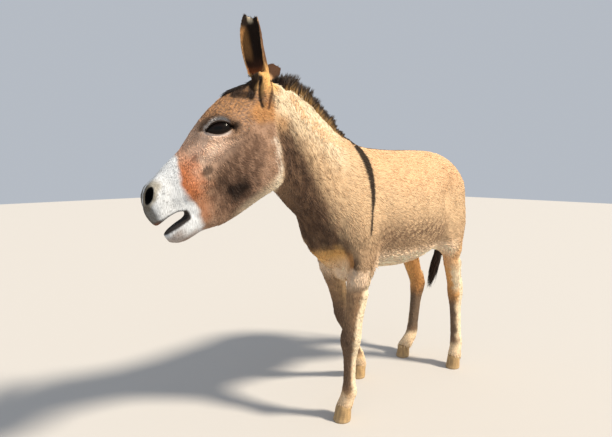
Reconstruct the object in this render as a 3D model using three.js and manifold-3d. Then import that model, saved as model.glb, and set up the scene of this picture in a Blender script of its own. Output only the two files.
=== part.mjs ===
// A life-size donkey that stands with its neck raised, its head turned a little to its right,
// its mouth ajar, its left ear up and its right ear laid out sideways.
//
// Millimetres, +Z up. The animal faces -X, its left side is on -Y and it stands on z = 0.
// The flesh is one smooth field: limbs and masses are blended, and a point is inside where the
// field is below zero. Each sub-part is drawn from that field between thin cuts.

import * as THREE from "three";
import { mergeVertices } from "three/addons/utils/BufferGeometryUtils.js";
import Module from "manifold-3d";

const wasm = await Module();
wasm.setup();

// ---------------------------------------------------------------- driving dimensions
const gap = 0.3; // between neighbours, so that they touch without overlapping
const withersHeight = 1150;
const legCutHeight = { fore: 548, hind: 578 }; // just under the elbow and the flank
const headLength = 545; // from the poll to the end of the upper lip
const headYaw = 20; // degrees to the animal's right of straight ahead
const headPitch = 41; // degrees that the head's axis points down
const poll = [-824, -97, 1305];
const legInside = 42; // the legs keep at least this far from the middle plane
const eyeRadius = 29;
const eyeProud = 4; // how far each eyeball stands out of the flesh
const lidOpening = [34, 17, 15]; // half-sizes: long, tall and into the head
const nostrilOpening = [12, 20, 25]; // half-sizes: wide, into the head and long
const earLength = 238;

const left = -1;
const right = 1;
const degrees = Math.PI / 180;

// ---------------------------------------------------------------- small helpers
const mix = (a, b, t) => a + (b - a) * t;
const clamp = (x, low, high) => Math.min(high, Math.max(low, x));
const vec = (p) => new THREE.Vector3(p[0], p[1], p[2]);
const smoothStep = (low, high, x) => {
  const t = clamp((x - low) / (high - low), 0, 1);
  return t * t * (3 - 2 * t);
};

function smoothUnion(a, b, blend) {
  const h = Math.max(blend - Math.abs(a - b), 0) / blend;
  return Math.min(a, b) - (h * h * blend) / 4;
}

const smoothCut = (a, b, blend) => -smoothUnion(-a, b, blend);

function catmullRom(rows, span, t) {
  const row = (i) => rows[clamp(i, 0, rows.length - 1)];
  const [a, b, c, d] = [row(span - 1), row(span), row(span + 1), row(span + 2)];
  return b.map(
    (_, k) =>
      0.5 *
      (2 * b[k] +
        (c[k] - a[k]) * t +
        (2 * a[k] - 5 * b[k] + 4 * c[k] - d[k]) * t * t +
        (3 * b[k] - a[k] - 3 * c[k] + d[k]) * t * t * t),
  );
}

// The rows of a table, drawn out into a smooth run with several steps for each span.
function drawnOut(rows, steps) {
  const run = [];
  for (let span = 0; span < rows.length - 1; span++)
    for (let i = 0; i < steps; i++) run.push(catmullRom(rows, span, i / steps));
  run.push(rows[rows.length - 1]);
  return run;
}

// ---------------------------------------------------------------- the head's own frame
// Head coordinates are [along, across, above]: from the poll towards the muzzle, to the
// animal's right, and from the head's axis towards the forehead.
const headAlong = new THREE.Vector3(
  -Math.cos(headYaw * degrees) * Math.cos(headPitch * degrees),
  Math.sin(headYaw * degrees) * Math.cos(headPitch * degrees),
  -Math.sin(headPitch * degrees),
);
const headAcross = new THREE.Vector3(
  Math.sin(headYaw * degrees),
  Math.cos(headYaw * degrees),
  0,
);
const headAbove = new THREE.Vector3().crossVectors(headAcross, headAlong).negate();
if (headAbove.z < 0) headAbove.negate();
const headUnit = headLength / 545; // the head's tables are drawn for a head of 545 mm

function fromHead([along, across, above]) {
  return vec(poll)
    .addScaledVector(headAlong, along * headUnit)
    .addScaledVector(headAcross, across * headUnit)
    .addScaledVector(headAbove, above * headUnit);
}
const headDirection = ([along, across, above]) =>
  new THREE.Vector3()
    .addScaledVector(headAlong, along)
    .addScaledVector(headAcross, across)
    .addScaledVector(headAbove, above)
    .normalize();

// A table row [along, across, above, side, deep] of the head as a row of the body.
const headRow = ([along, across, above, side, deep]) => [
  ...fromHead([along, across, above]).toArray(),
  side * headUnit,
  deep * headUnit,
];

// ---------------------------------------------------------------- fields
// An elliptical tube through rows [x, y, z, side, deep]. "side" is its half-width along the
// sideways direction and "deep" its half-width at right angles to that.
function limb(rows, sideways = new THREE.Vector3(0, 1, 0)) {
  const run = drawnOut(rows, 4);
  const pieces = [];
  const centre = new THREE.Vector3();
  run.forEach((r) => centre.add(vec(r)));
  centre.divideScalar(run.length);
  const reach = Math.max(
    ...run.map((r) => vec(r).distanceTo(centre) + Math.max(r[3], r[4])),
  );
  for (let i = 0; i < run.length - 1; i++) {
    const start = vec(run[i]);
    const axis = vec(run[i + 1]).sub(start);
    const length = axis.length();
    if (length < 1e-6) continue;
    axis.divideScalar(length);
    const deepAxis = new THREE.Vector3().crossVectors(axis, sideways).normalize();
    const sideAxis = new THREE.Vector3().crossVectors(deepAxis, axis);
    pieces.push({
      start,
      axis,
      length,
      deepAxis,
      sideAxis,
      side: [run[i][3], run[i + 1][3]],
      deep: [run[i][4], run[i + 1][4]],
    });
  }
  const d = new THREE.Vector3();
  return (p) => {
    const away = p.distanceTo(centre) - reach;
    if (away > 120) return away;
    let nearest = Infinity;
    for (const s of pieces) {
      d.subVectors(p, s.start);
      const along = d.dot(s.axis);
      const t = clamp(along / s.length, 0, 1);
      const side = mix(s.side[0], s.side[1], t);
      const deep = mix(s.deep[0], s.deep[1], t);
      const x = d.dot(s.sideAxis);
      const y = d.dot(s.deepAxis);
      const z = along - t * s.length;
      const r = Math.hypot(x / side, y / deep, z / Math.min(side, deep));
      const value = r < 1e-4 ? -Math.min(side, deep) : Math.hypot(x, y, z) * (1 - 1 / r);
      if (value < nearest) nearest = value;
    }
    return nearest;
  };
}

// An ellipsoid with its three half-sizes along three directions.
function mass(centre, sizes, directions) {
  const d = new THREE.Vector3();
  return (p) => {
    d.subVectors(p, centre);
    const r = Math.hypot(
      d.dot(directions[0]) / sizes[0],
      d.dot(directions[1]) / sizes[1],
      d.dot(directions[2]) / sizes[2],
    );
    return r < 1e-4 ? -Math.min(...sizes) : d.length() * (1 - 1 / r);
  };
}

const bodyDirections = [vec([1, 0, 0]), vec([0, 1, 0]), vec([0, 0, 1])];
const headDirections = [headAlong, headAcross, headAbove];
const bodyMass = (centre, sizes, lean = 0) =>
  mass(
    vec(centre),
    sizes,
    bodyDirections.map((v) =>
      v.clone().applyAxisAngle(bodyDirections[1], lean * degrees),
    ),
  );
const headMass = (centre, sizes, lean = 0) =>
  mass(
    fromHead(centre),
    sizes.map((s) => s * headUnit),
    headDirections.map((v) => v.clone().applyAxisAngle(headAcross, lean * degrees)),
  );

// ---------------------------------------------------------------- legs
// Joints of each leg, top to bottom. The left foreleg leads and the right one trails.
const forelegs = {
  left: {
    side: left,
    elbow: [-352, -126, 665],
    knee: [-416, -120, 362],
    fetlock: [-392, -94, 116],
    coronet: [-406, -82, 58],
  },
  right: {
    side: right,
    elbow: [-280, 118, 665],
    knee: [-176, 132, 362],
    fetlock: [-60, 134, 116],
    coronet: [-36, 136, 60],
  },
};
const hindlegs = {
  left: {
    side: left,
    hip: [382, -92, 940],
    stifle: [346, -136, 690],
    hock: [446, -116, 412],
    fetlock: [432, -140, 118],
    coronet: [412, -144, 60],
  },
  right: {
    side: right,
    hip: [376, 92, 940],
    stifle: [332, 136, 690],
    hock: [466, 126, 396],
    fetlock: [420, 127, 112],
    coronet: [350, 128, 58],
  },
};

// Half-widths [share of the way, side, deep] between two joints.
const forearm = [
  [0, 48, 66],
  [0.2, 46, 62],
  [0.45, 42, 54],
  [0.7, 37, 46],
  [0.9, 40, 44],
];
const foreCannon = [
  [0, 44, 47],
  [0.12, 40, 43],
  [0.26, 29, 37],
  [0.5, 24, 33],
  [0.78, 24, 33],
  [0.92, 28, 36],
];
const forePastern = [
  [0, 31, 37],
  [0.5, 28, 33],
  [1, 33, 38],
];
const thigh = [
  [0, 72, 98],
  [0.35, 74, 104],
  [0.7, 68, 100],
];
const gaskin = [
  [0, 56, 86],
  [0.3, 47, 70],
  [0.6, 40, 56],
  [0.85, 36, 48],
];
const hindCannon = [
  [0, 40, 52],
  [0.14, 36, 47],
  [0.3, 29, 40],
  [0.55, 27, 38],
  [0.8, 27, 37],
  [0.93, 30, 40],
];
const hindPastern = [
  [0, 31, 40],
  [0.5, 28, 34],
  [1, 34, 40],
];

const between = (from, to, table) =>
  table.map(([t, side, deep]) => [
    mix(from[0], to[0], t),
    mix(from[1], to[1], t),
    mix(from[2], to[2], t),
    side,
    deep,
  ]);

const foreRows = (leg) => [
  ...between(leg.elbow, leg.knee, forearm),
  ...between(leg.knee, leg.fetlock, foreCannon),
  ...between(leg.fetlock, leg.coronet, forePastern),
];
const hindRows = (leg) => [
  ...between(leg.hip, leg.stifle, thigh),
  ...between(leg.stifle, leg.hock, gaskin),
  ...between(leg.hock, leg.fetlock, hindCannon),
  ...between(leg.fetlock, leg.coronet, hindPastern),
];

// A point beside a joint, shifted backwards, outwards and upwards.
const beside = (joint, side, [back, out, up]) => [
  joint[0] + back,
  joint[1] + side * out,
  joint[2] + up,
];

function foreFlesh(leg) {
  const { side, elbow, knee, fetlock } = leg;
  const lean = Math.atan2(elbow[0] - knee[0], elbow[2] - knee[2]) / degrees;
  const muscle = elbow.map((x, k) => mix(x, knee[k], 0.18));
  return [
    { field: limb(foreRows(leg)), blend: 45 },
    // the forearm's muscle belly in front, and the point of the elbow behind
    { field: bodyMass(beside(muscle, side, [-30, 4, 0]), [36, 42, 90], lean), blend: 36 },
    { field: bodyMass(beside(elbow, side, [46, 2, 8]), [30, 30, 42]), blend: 35 },
    // the pisiform bone behind the knee, and the tuft behind the fetlock
    { field: bodyMass(beside(knee, side, [34, 0, 14]), [20, 20, 28]), blend: 22 },
    { field: bodyMass(beside(fetlock, side, [24, 0, -6]), [22, 20, 24]), blend: 20 },
  ];
}

function hindFlesh(leg) {
  const { side, stifle, hock, fetlock } = leg;
  return [
    { field: limb(hindRows(leg)), blend: 60 },
    // the stifle's bulge in front, the hamstrings behind, the point of the hock
    { field: bodyMass(beside(stifle, side, [-48, 2, 20]), [50, 48, 72]), blend: 50 },
    { field: bodyMass(beside(stifle, side, [72, -20, 96]), [52, 46, 140], -6), blend: 50 },
    { field: bodyMass(beside(hock, side, [34, 0, 34]), [22, 21, 44], 10), blend: 26 },
    { field: bodyMass(beside(fetlock, side, [26, 0, -6]), [22, 20, 24]), blend: 20 },
  ];
}

// ---------------------------------------------------------------- trunk
const barrel = [
  [-430, 0, 880, 108, 160],
  [-350, 0, 868, 134, 218],
  [-245, 0, 862, 168, 246],
  [-100, 0, 852, 200, 258],
  [60, 0, 850, 216, 264],
  [200, 0, 868, 204, 246],
  [315, 0, 912, 172, 206],
  [392, 0, 950, 132, 154],
  [448, 0, 968, 88, 106],
];
const backbone = [
  [-340, 0, 1082, 40, 52],
  [-275, 0, withersHeight - 56, 42, 56],
  [-180, 0, withersHeight - 64, 52, 56],
  [0, 0, withersHeight - 76, 70, 56],
  [180, 0, withersHeight - 72, 78, 58],
  [300, 0, withersHeight - 76, 76, 58],
  [392, 0, withersHeight - 106, 60, 56],
  [470, 0, withersHeight - 148, 40, 48],
];

function trunkFlesh() {
  const parts = [
    { field: limb(barrel), blend: 1 },
    { field: limb(backbone), blend: 70 },
    // breast between the points of the shoulders
    { field: bodyMass([-452, 0, 800], [80, 84, 112], 14), blend: 60 },
    { field: bodyMass([-344, 0, 694], [112, 76, 82]), blend: 50 },
  ];
  for (const side of [left, right]) {
    const shoulder = [
      [-272, side * 62, 1058, 38, 60],
      [-322, side * 92, 950, 50, 84],
      [-374, side * 108, 846, 54, 80],
      [-410, side * 106, 776, 48, 56],
    ];
    parts.push(
      { field: limb(shoulder), blend: 50 },
      // upper arm and triceps
      { field: bodyMass([-334, side * 122, 758], [96, 52, 98], 24), blend: 50 },
      // point of the hip, the croup's muscle and the point of the buttock
      { field: bodyMass([252, side * 146, 1018], [60, 38, 42]), blend: 60 },
      { field: bodyMass([332, side * 80, 978], [128, 74, 104], 16), blend: 64 },
      { field: bodyMass([456, side * 66, 888], [42, 42, 86]), blend: 46 },
    );
  }
  return parts;
}

// ---------------------------------------------------------------- neck
const neckMuscle = [
  [-392, 0, 955, 110, 188],
  [-470, -8, 998, 98, 188],
  [-560, -28, 1046, 84, 184],
  [-650, -54, 1098, 76, 176],
  [-740, -80, 1150, 71, 164],
  [-800, -94, 1194, 68, 142],
];
const neckCrest = [
  [-300, 0, 1110, 34, 44],
  [-380, -4, 1142, 34, 42],
  [-445, -12, 1176, 32, 42],
  [-560, -36, 1238, 28, 40],
  [-650, -60, 1278, 28, 38],
  [-740, -84, 1298, 30, 36],
];
const neckFlesh = () => [
  { field: limb(neckMuscle), blend: 80 },
  { field: limb(neckCrest), blend: 60 },
];

// ---------------------------------------------------------------- head
const skull = [
  [20, 0, -13, 68, 57],
  [95, 0, 2, 82, 75],
  [170, 0, 5, 86, 77],
  [250, 0, -8, 72, 75],
  [340, 0, -25, 56, 67],
  [430, 0, -30, 49, 67],
  [488, 0, -34, 48, 62],
];
const jawBone = [
  [150, 0, -150, 62, 100],
  [230, 0, -150, 64, 102],
  [310, 0, -150, 56, 92],
  [380, 0, -150, 48, 80],
  [440, 0, -142, 43, 58],
  [500, 0, -138, 41, 41],
  [538, 0, -134, 36, 28],
];

function headFlesh() {
  const parts = [
    { field: limb(skull.map(headRow), headAcross), blend: 60 },
    { field: limb(jawBone.map(headRow), headAcross), blend: 50 },
    // upper lip and chin
    { field: headMass([531, 0, -50], [31, 44, 39]), blend: 40 },
    { field: headMass([510, 0, -142], [44, 36, 31]), blend: 30 },
  ];
  for (const side of [left, right]) {
    parts.push(
      // brow, cheekbone, chewing muscle, the ridge below the cheekbone, nostril's wing
      { field: headMass([204, side * 70, 44], [56, 28, 24]), blend: 40 },
      { field: headMass([236, side * 74, -16], [92, 22, 24], 6), blend: 40 },
      { field: headMass([196, side * 48, -128], [98, 40, 118], -14), blend: 50 },
      { field: headMass([330, side * 42, -52], [120, 22, 40]), blend: 50 },
      { field: headMass([496, side * 32, -6], [40, 20, 34], -20), blend: 30 },
      { field: headMass([30, side * 52, 10], [44, 34, 40]), blend: 40 },
    );
  }
  return parts;
}

// ---------------------------------------------------------------- the whole flesh
const allFlesh = [
  ...trunkFlesh(),
  ...neckFlesh(),
  ...headFlesh(),
  ...Object.values(forelegs).flatMap(foreFlesh),
  ...Object.values(hindlegs).flatMap(hindFlesh),
];
const hollows = [
  // flank in front of each thigh, behind each elbow, and each eye's orbit
  ...[left, right].flatMap((side) => [
    { field: bodyMass([246, side * 214, 896], [66, 34, 100], 12), blend: 60 },
    { field: headMass([228, side * 118, 24], [36, 26, 22]), blend: 22 },
  ]),
];

function flesh(p) {
  let value = Infinity;
  for (const part of allFlesh) {
    const d = part.field(p);
    value = value === Infinity ? d : smoothUnion(value, d, part.blend);
  }
  for (const hollow of hollows) value = smoothCut(value, hollow.field(p), hollow.blend);
  return value;
}

// ---------------------------------------------------------------- solids
function solidOf(geometry) {
  const bare = geometry.index ? geometry.toNonIndexed() : geometry.clone();
  bare.deleteAttribute("normal");
  bare.deleteAttribute("uv");
  const merged = mergeVertices(bare, 1e-3);
  return new wasm.Manifold(
    new wasm.Mesh({
      numProp: 3,
      vertProperties: merged.attributes.position.array,
      triVerts: new Uint32Array(merged.index.array),
    }),
  );
}

function geometryOf(solid) {
  const mesh = solid.getMesh();
  const geometry = new THREE.BufferGeometry();
  geometry.setAttribute("position", new THREE.BufferAttribute(mesh.vertProperties, 3));
  geometry.setIndex(new THREE.BufferAttribute(mesh.triVerts, 1));
  geometry.computeVertexNormals();
  return geometry;
}

function meshed(points, faces) {
  const geometry = new THREE.BufferGeometry();
  geometry.setAttribute("position", new THREE.Float32BufferAttribute(points.flat(), 3));
  geometry.setIndex(faces.flat());
  return geometry;
}

// Two triangles for a four-sided face, split along its shorter diagonal.
function splitQuad(points, [a, b, c, d]) {
  const apart = (i, j) => Math.hypot(...points[i].map((x, k) => x - points[j][k]));
  return apart(a, c) <= apart(b, d) ? [[a, b, c], [a, c, d]] : [[a, b, d], [b, c, d]];
}

// Joins rings of equal count into one closed skin. Each end is a flat fan or a pole.
function skinRings(rings, poles) {
  const count = rings[0].length;
  const points = rings.flat();
  const faces = [];
  for (let k = 0; k < rings.length - 1; k++)
    for (let j = 0; j < count; j++) {
      const next = (j + 1) % count;
      faces.push(
        ...splitQuad(points, [
          k * count + j,
          k * count + next,
          (k + 1) * count + next,
          (k + 1) * count + j,
        ]),
      );
    }
  const last = (rings.length - 1) * count;
  points.push(poles[0], poles[1]);
  for (let j = 0; j < count; j++) {
    const next = (j + 1) % count;
    faces.push([points.length - 2, next, j]);
    faces.push([points.length - 1, last + j, last + next]);
  }
  return meshed(points, faces);
}

function surfaceAlong(field, from, direction, reach = 420, step = 7) {
  const p = new THREE.Vector3();
  const at = (r) => field(p.copy(from).addScaledVector(direction, r));
  let near = 0;
  while (near < reach && at(near + step) < 0) near += step;
  let far = near + step;
  for (let i = 0; i < 14; i++) {
    const middle = (near + far) / 2;
    if (at(middle) < 0) near = middle;
    else far = middle;
  }
  return p.copy(from).addScaledVector(direction, near).toArray();
}

const middleOf = (ring) =>
  [0, 1, 2].map((k) => ring.reduce((sum, p) => sum + p[k], 0) / ring.length);

// Draws a sub-part as rings round a path. Each stop has its centre and the directions up and
// side, which span its plane. "squeeze" spreads the spokes over a section that isn't round.
// With a dome, the last ring goes on over the end, along the path's direction there.
function ringSolid({ field, stops, spokes, squeeze = 1, dome = 0 }) {
  const spoke = (stop, j) => {
    const turn = (2 * Math.PI * j) / spokes;
    return new THREE.Vector3()
      .addScaledVector(stop.up, Math.cos(turn) * squeeze)
      .addScaledVector(stop.side, Math.sin(turn))
      .normalize();
  };
  const indices = [...Array(spokes).keys()];
  const rings = stops.map((stop) =>
    indices.map((j) => surfaceAlong(field, stop.centre, spoke(stop, j))),
  );
  const end = stops[stops.length - 1];
  const ahead = new THREE.Vector3().crossVectors(end.up, end.side).normalize();
  for (let k = 1; k <= dome; k++) {
    const lift = (k / (dome + 1)) * 90 * degrees;
    rings.push(
      indices.map((j) =>
        surfaceAlong(
          field,
          end.centre,
          spoke(end, j)
            .multiplyScalar(Math.cos(lift))
            .addScaledVector(ahead, Math.sin(lift))
            .normalize(),
        ),
      ),
    );
  }
  const tip = dome
    ? surfaceAlong(field, end.centre, ahead)
    : middleOf(rings[rings.length - 1]);
  return outward(solidOf(skinRings(rings, [middleOf(rings[0]), tip])));
}

function outward(solid) {
  if (solid.volume() >= 0) return solid;
  const mesh = solid.getMesh();
  const turned = mesh.triVerts.slice();
  for (let i = 0; i < turned.length; i += 3)
    [turned[i + 1], turned[i + 2]] = [turned[i + 2], turned[i + 1]];
  return new wasm.Manifold(
    new wasm.Mesh({ numProp: 3, vertProperties: mesh.vertProperties, triVerts: turned }),
  );
}

// Draws a sub-part that branches, as a net of near-square faces over a lattice of cubes.
function netSolid(field, low, high, cell) {
  const count = low.map((x, k) => Math.ceil((high[k] - x) / cell) + 1);
  const index = (i, j, k) => (k * count[1] + j) * count[0] + i;
  const value = new Float64Array(count[0] * count[1] * count[2]);
  const p = new THREE.Vector3();
  const eachCorner = (visit) => {
    for (let k = 0; k < count[2]; k++)
      for (let j = 0; j < count[1]; j++)
        for (let i = 0; i < count[0]; i++) visit(i, j, k);
  };
  eachCorner((i, j, k) => {
    const rim = [i, j, k].some((n, axis) => n === 0 || n === count[axis] - 1);
    p.set(low[0] + i * cell, low[1] + j * cell, low[2] + k * cell);
    value[index(i, j, k)] = rim ? cell : field(p);
  });
  fillPinches(value, count, index, cell);

  const steps = [1, count[0], count[0] * count[1]];
  const points = [];
  const pointOf = new Map();
  eachCorner((i, j, k) => {
    if (i === count[0] - 1 || j === count[1] - 1 || k === count[2] - 1) return;
    const base = index(i, j, k);
    const sum = [0, 0, 0];
    let crossings = 0;
    for (let axis = 0; axis < 3; axis++)
      for (let corner = 0; corner < 4; corner++) {
        const [a, b] = [0, 1, 2].filter((n) => n !== axis);
        const offset = [0, 0, 0];
        offset[a] = corner & 1;
        offset[b] = corner >> 1;
        const from = base + offset[0] + offset[1] * steps[1] + offset[2] * steps[2];
        const [v, w] = [value[from], value[from + steps[axis]]];
        if (v < 0 === w < 0) continue;
        offset[axis] = v / (v - w);
        offset.forEach((x, n) => (sum[n] += x));
        crossings++;
      }
    if (!crossings) return;
    pointOf.set(base, points.length);
    p.set(
      low[0] + (i + sum[0] / crossings) * cell,
      low[1] + (j + sum[1] / crossings) * cell,
      low[2] + (k + sum[2] / crossings) * cell,
    );
    points.push(ontoSurface(field, p, cell / 2).toArray());
  });

  const faces = [];
  eachCorner((i, j, k) => {
    const base = index(i, j, k);
    const place = [i, j, k];
    for (let axis = 0; axis < 3; axis++) {
      const [a, b] = [(axis + 1) % 3, (axis + 2) % 3];
      if (place[axis] === count[axis] - 1 || !place[a] || !place[b]) continue;
      const [v, w] = [value[base], value[base + steps[axis]]];
      if (v < 0 === w < 0) continue;
      const quad = [base, base - steps[a], base - steps[a] - steps[b], base - steps[b]];
      const corners = quad.map((cellBase) => pointOf.get(cellBase));
      faces.push(...splitQuad(points, v < 0 ? corners : corners.reverse()));
    }
  });
  return outward(solidOf(meshed(points, faces)));
}

// Fills a lattice corner wherever two parts of the net would meet along a single edge.
function fillPinches(value, count, index, cell) {
  const steps = [1, count[0], count[0] * count[1]];
  const planes = [[0, 1], [0, 2], [1, 2]].map((pair) => pair.map((axis) => steps[axis]));
  const fillOne = (corners) => {
    const sign = corners.map((n) => value[n] < 0);
    if (sign[0] !== sign[2] || sign[1] !== sign[3] || sign[0] === sign[1]) return false;
    value[corners[sign[0] ? 1 : 0]] = -cell / 50;
    return true;
  };
  for (let pass = 0, found = true; found && pass < 20; pass++) {
    found = false;
    for (let k = 0; k < count[2] - 1; k++)
      for (let j = 0; j < count[1] - 1; j++)
        for (let i = 0; i < count[0] - 1; i++)
          for (const [a, b] of planes) {
            const n = index(i, j, k);
            if (fillOne([n, n + a, n + a + b, n + b])) found = true;
          }
  }
}

function ontoSurface(field, start, limit) {
  const p = start.clone();
  const q = new THREE.Vector3();
  const step = 1;
  for (let i = 0; i < 4; i++) {
    const value = field(p);
    const slope = bodyDirections.map(
      (v) =>
        (field(q.copy(p).addScaledVector(v, step)) -
          field(q.copy(p).addScaledVector(v, -step))) /
        (2 * step),
    );
    const square = slope.reduce((sum, x) => sum + x * x, 0) || 1;
    p.addScaledVector(vec(slope), clamp(-value / square, -limit, limit));
  }
  return p.distanceTo(start) > limit ? start.clone() : p;
}

const boxSolid = (low, high) =>
  solidOf(
    new THREE.BoxGeometry(...high.map((x, k) => x - low[k])).translate(
      ...high.map((x, k) => (x + low[k]) / 2),
    ),
  );

const ballSolid = (centre, radius) =>
  solidOf(new THREE.IcosahedronGeometry(radius, 2).translate(...centre.toArray()));

function ellipsoidSolid(centre, sizes, directions) {
  const matrix = new THREE.Matrix4().makeBasis(
    directions[0].clone().multiplyScalar(sizes[0]),
    directions[1].clone().multiplyScalar(sizes[1]),
    directions[2].clone().multiplyScalar(sizes[2]),
  );
  matrix.setPosition(centre);
  return outward(solidOf(new THREE.IcosahedronGeometry(1, 2).applyMatrix4(matrix)));
}

// Everything on the far side of a plane, as a slab big enough to cut any sub-part.
function halfSpace(point, normal, size = 3000) {
  const slab = new THREE.BoxGeometry(size, size, size).translate(0, 0, size / 2);
  const turn = new THREE.Quaternion().setFromUnitVectors(vec([0, 0, 1]), normal);
  return solidOf(slab.applyQuaternion(turn).translate(...point.toArray()));
}

const biggest = (solid) =>
  solid.decompose().sort((a, b) => b.volume() - a.volume())[0];

// ---------------------------------------------------------------- cuts between sub-parts
// Each cut is a plane: its point, and its normal towards the head.
const headCut = {
  point: fromHead([86, 0, -112]),
  normal: headDirection([0.85, 0, 0.527]),
};
const neckCut = { point: vec([-428, 0, 980]), normal: vec([-0.86, -0.04, 0.5]).normalize() };

// ---------------------------------------------------------------- neck
const movedBy = (stop, normal, distance) => ({
  ...stop,
  centre: stop.centre.clone().addScaledVector(normal, distance),
});

// A grown copy keeps the facets, so that it clears the true one by "grow" all over. "reach"
// carries its ends on past the cuts.
function neckSolid(grow = 0, reach = 0) {
  const start = movedBy({ centre: neckCut.point }, neckCut.normal, gap).centre;
  const finish = movedBy({ centre: headCut.point }, headCut.normal, -gap).centre;
  const stopCount = 9;
  let stops = [];
  for (let i = 0; i <= stopCount; i++) {
    const t = i / stopCount;
    const normal = neckCut.normal.clone().lerp(headCut.normal, t).normalize();
    const across = bodyDirections[1].clone().lerp(headAcross, t);
    const up = new THREE.Vector3().crossVectors(across, normal).normalize();
    if (up.z < 0) up.negate();
    const side = new THREE.Vector3().crossVectors(normal, up);
    stops.push({ centre: start.clone().lerp(finish, t), up, side });
  }
  if (reach)
    stops = [
      movedBy(stops[0], neckCut.normal, -reach),
      ...stops,
      movedBy(stops[stopCount], headCut.normal, reach),
    ];
  return ringSolid({ field: (p) => flesh(p) - grow, stops, spokes: 24, squeeze: 1.5 });
}

// ---------------------------------------------------------------- head
const headPath = [
  [86, 0, -112, -0.527, 0.85],
  [150, 0, -96, -0.4, 0.92],
  [230, 0, -84, -0.2, 0.98],
  [320, 0, -80, -0.06, 1],
  [410, 0, -78, 0, 1],
  [498, 0, -72, 0.04, 1],
];
const jawCutLine = { top: [470, 0, -104], bottom: [446, 0, -260] };

function wholeHead(grow = 0, reach = 0) {
  const stops = drawnOut(headPath, 3).map(([along, across, above, back, up]) => {
    const upward = headDirection([back, 0, up]);
    return {
      centre: fromHead([along, across, above]),
      up: upward,
      side: headAcross.clone(),
    };
  });
  stops[0].centre.addScaledVector(headCut.normal, gap);
  if (reach) stops.unshift(movedBy(stops[0], headCut.normal, -reach));
  return ringSolid({ field: (p) => flesh(p) - grow, stops, spokes: 26, squeeze: 1.6, dome: 5 });
}

// The open mouth: a slot with a round inner end, right through from side to side.
function mouthSolid() {
  const upper = [
    [640, -62],
    [556, -73],
    [530, -78],
    [504, -84],
    [482, -92],
    [467, -106],
  ];
  const lower = [
    [474, -121],
    [506, -118],
    [536, -113],
    [560, -112],
    [640, -104],
  ];
  const points = [...upper, ...lower].map(([x, y]) => new THREE.Vector2(x, y));
  const outline = new THREE.Shape(new THREE.SplineCurve(points).getPoints(20));
  const slot = new THREE.ExtrudeGeometry(outline, { depth: 240, bevelEnabled: false });
  const matrix = new THREE.Matrix4().makeBasis(headAlong, headAbove, headAcross);
  slot.translate(0, 0, -120).scale(headUnit, headUnit, headUnit);
  slot.applyMatrix4(matrix).translate(...poll);
  return outward(solidOf(slot));
}

// A point of the flesh's surface, seen from inside the head towards a direction.
const onFace = (from, direction) =>
  vec(surfaceAlong(flesh, fromHead(from), headDirection(direction)));
const eyeGaze = (side) => headDirection([0.16, side, 0.16]);
const lidsCentre = (side) => onFace([222, side * 30, 16], [0.16, side, 0.16]);
const eyeCentre = (side) =>
  lidsCentre(side).addScaledVector(eyeGaze(side), eyeProud - eyeRadius);

const nostrilCentre = (side) => onFace([500, side * 10, 2], [0.55, side, 0.12]);

// The eye's opening is long from its back corner to its front one, which is the higher one
// when the head hangs level.
function lidDirections(side) {
  const gaze = eyeGaze(side);
  const long = headDirection([0.82, -side * 0.1, 0.57]);
  long.addScaledVector(gaze, -long.dot(gaze)).normalize();
  return [long, new THREE.Vector3().crossVectors(gaze, long), gaze];
}

// A nostril's long direction runs back, out and up. Its deep one goes into the head.
function nostrilDirections(side) {
  const long = headDirection([-0.59, side * 0.54, 0.6]);
  const deep = headDirection([0.6, side * 0.75, 0.2]);
  const wide = new THREE.Vector3().crossVectors(long, deep).normalize();
  return [wide, new THREE.Vector3().crossVectors(wide, long), long];
}

function headAndJaw() {
  let solid = wholeHead().subtract(mouthSolid());
  for (const side of [left, right]) {
    const [lids, nostril] = [lidDirections(side), nostrilDirections(side)];
    solid = solid
      .subtract(ballSolid(eyeCentre(side), eyeRadius + gap))
      .subtract(ellipsoidSolid(lidsCentre(side), lidOpening, lids))
      .subtract(ellipsoidSolid(nostrilCentre(side), nostrilOpening, nostril))
      .add(earRoot(side < 0 ? ears.left : ears.right, side));
  }
  for (const ear of Object.values(ears))
    solid = solid.subtract(
      halfSpace(ear.cut, ear.axis, 400).intersect(ballSolid(ear.cut, 120)),
    );
  solid = solid.subtract(neckSolid(gap, gap));
  const top = fromHead(jawCutLine.top);
  const bottom = fromHead(jawCutLine.bottom);
  const down = bottom.clone().sub(top).normalize();
  const forward = new THREE.Vector3().crossVectors(down, headAcross).normalize();
  if (forward.dot(headAlong) < 0) forward.negate();
  const slab = new THREE.BoxGeometry(gap, 300, 260).translate(0, 0, 126);
  slab.applyMatrix4(new THREE.Matrix4().makeBasis(forward, headAcross, down));
  slab.translate(...top.toArray());
  const pieces = solid.subtract(outward(solidOf(slab))).decompose();
  pieces.sort((a, b) => b.volume() - a.volume());
  return { head: pieces[0], jaw: pieces[1] };
}

// ---------------------------------------------------------------- ears
// Each ear is a rolled leaf: a strip that curls round its axis, wide in the middle, with its
// opening towards "facing".
const earShape = [
  // share of the length, half-width round the curl, radius of the curl, wall
  [0.0, 52, 27, 11],
  [0.12, 57, 29, 10],
  [0.3, 60, 32, 9],
  [0.5, 58, 34, 8],
  [0.68, 54, 34, 7.5],
  [0.84, 45, 31, 7],
  [0.95, 33, 27, 6],
  [1.0, 22, 24, 5],
];
const earNotch = 20; // how far the middle of the tip stands below its two corners

function makeEar({ root, axis, facing, bend }) {
  const base = fromHead(root);
  const along = headDirection(axis);
  const open = headDirection(facing);
  open.addScaledVector(along, -open.dot(along)).normalize();
  const across = new THREE.Vector3().crossVectors(along, open);
  return { base, axis: along, open, across, bend, cut: base.clone().addScaledVector(along, 34) };
}

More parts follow.
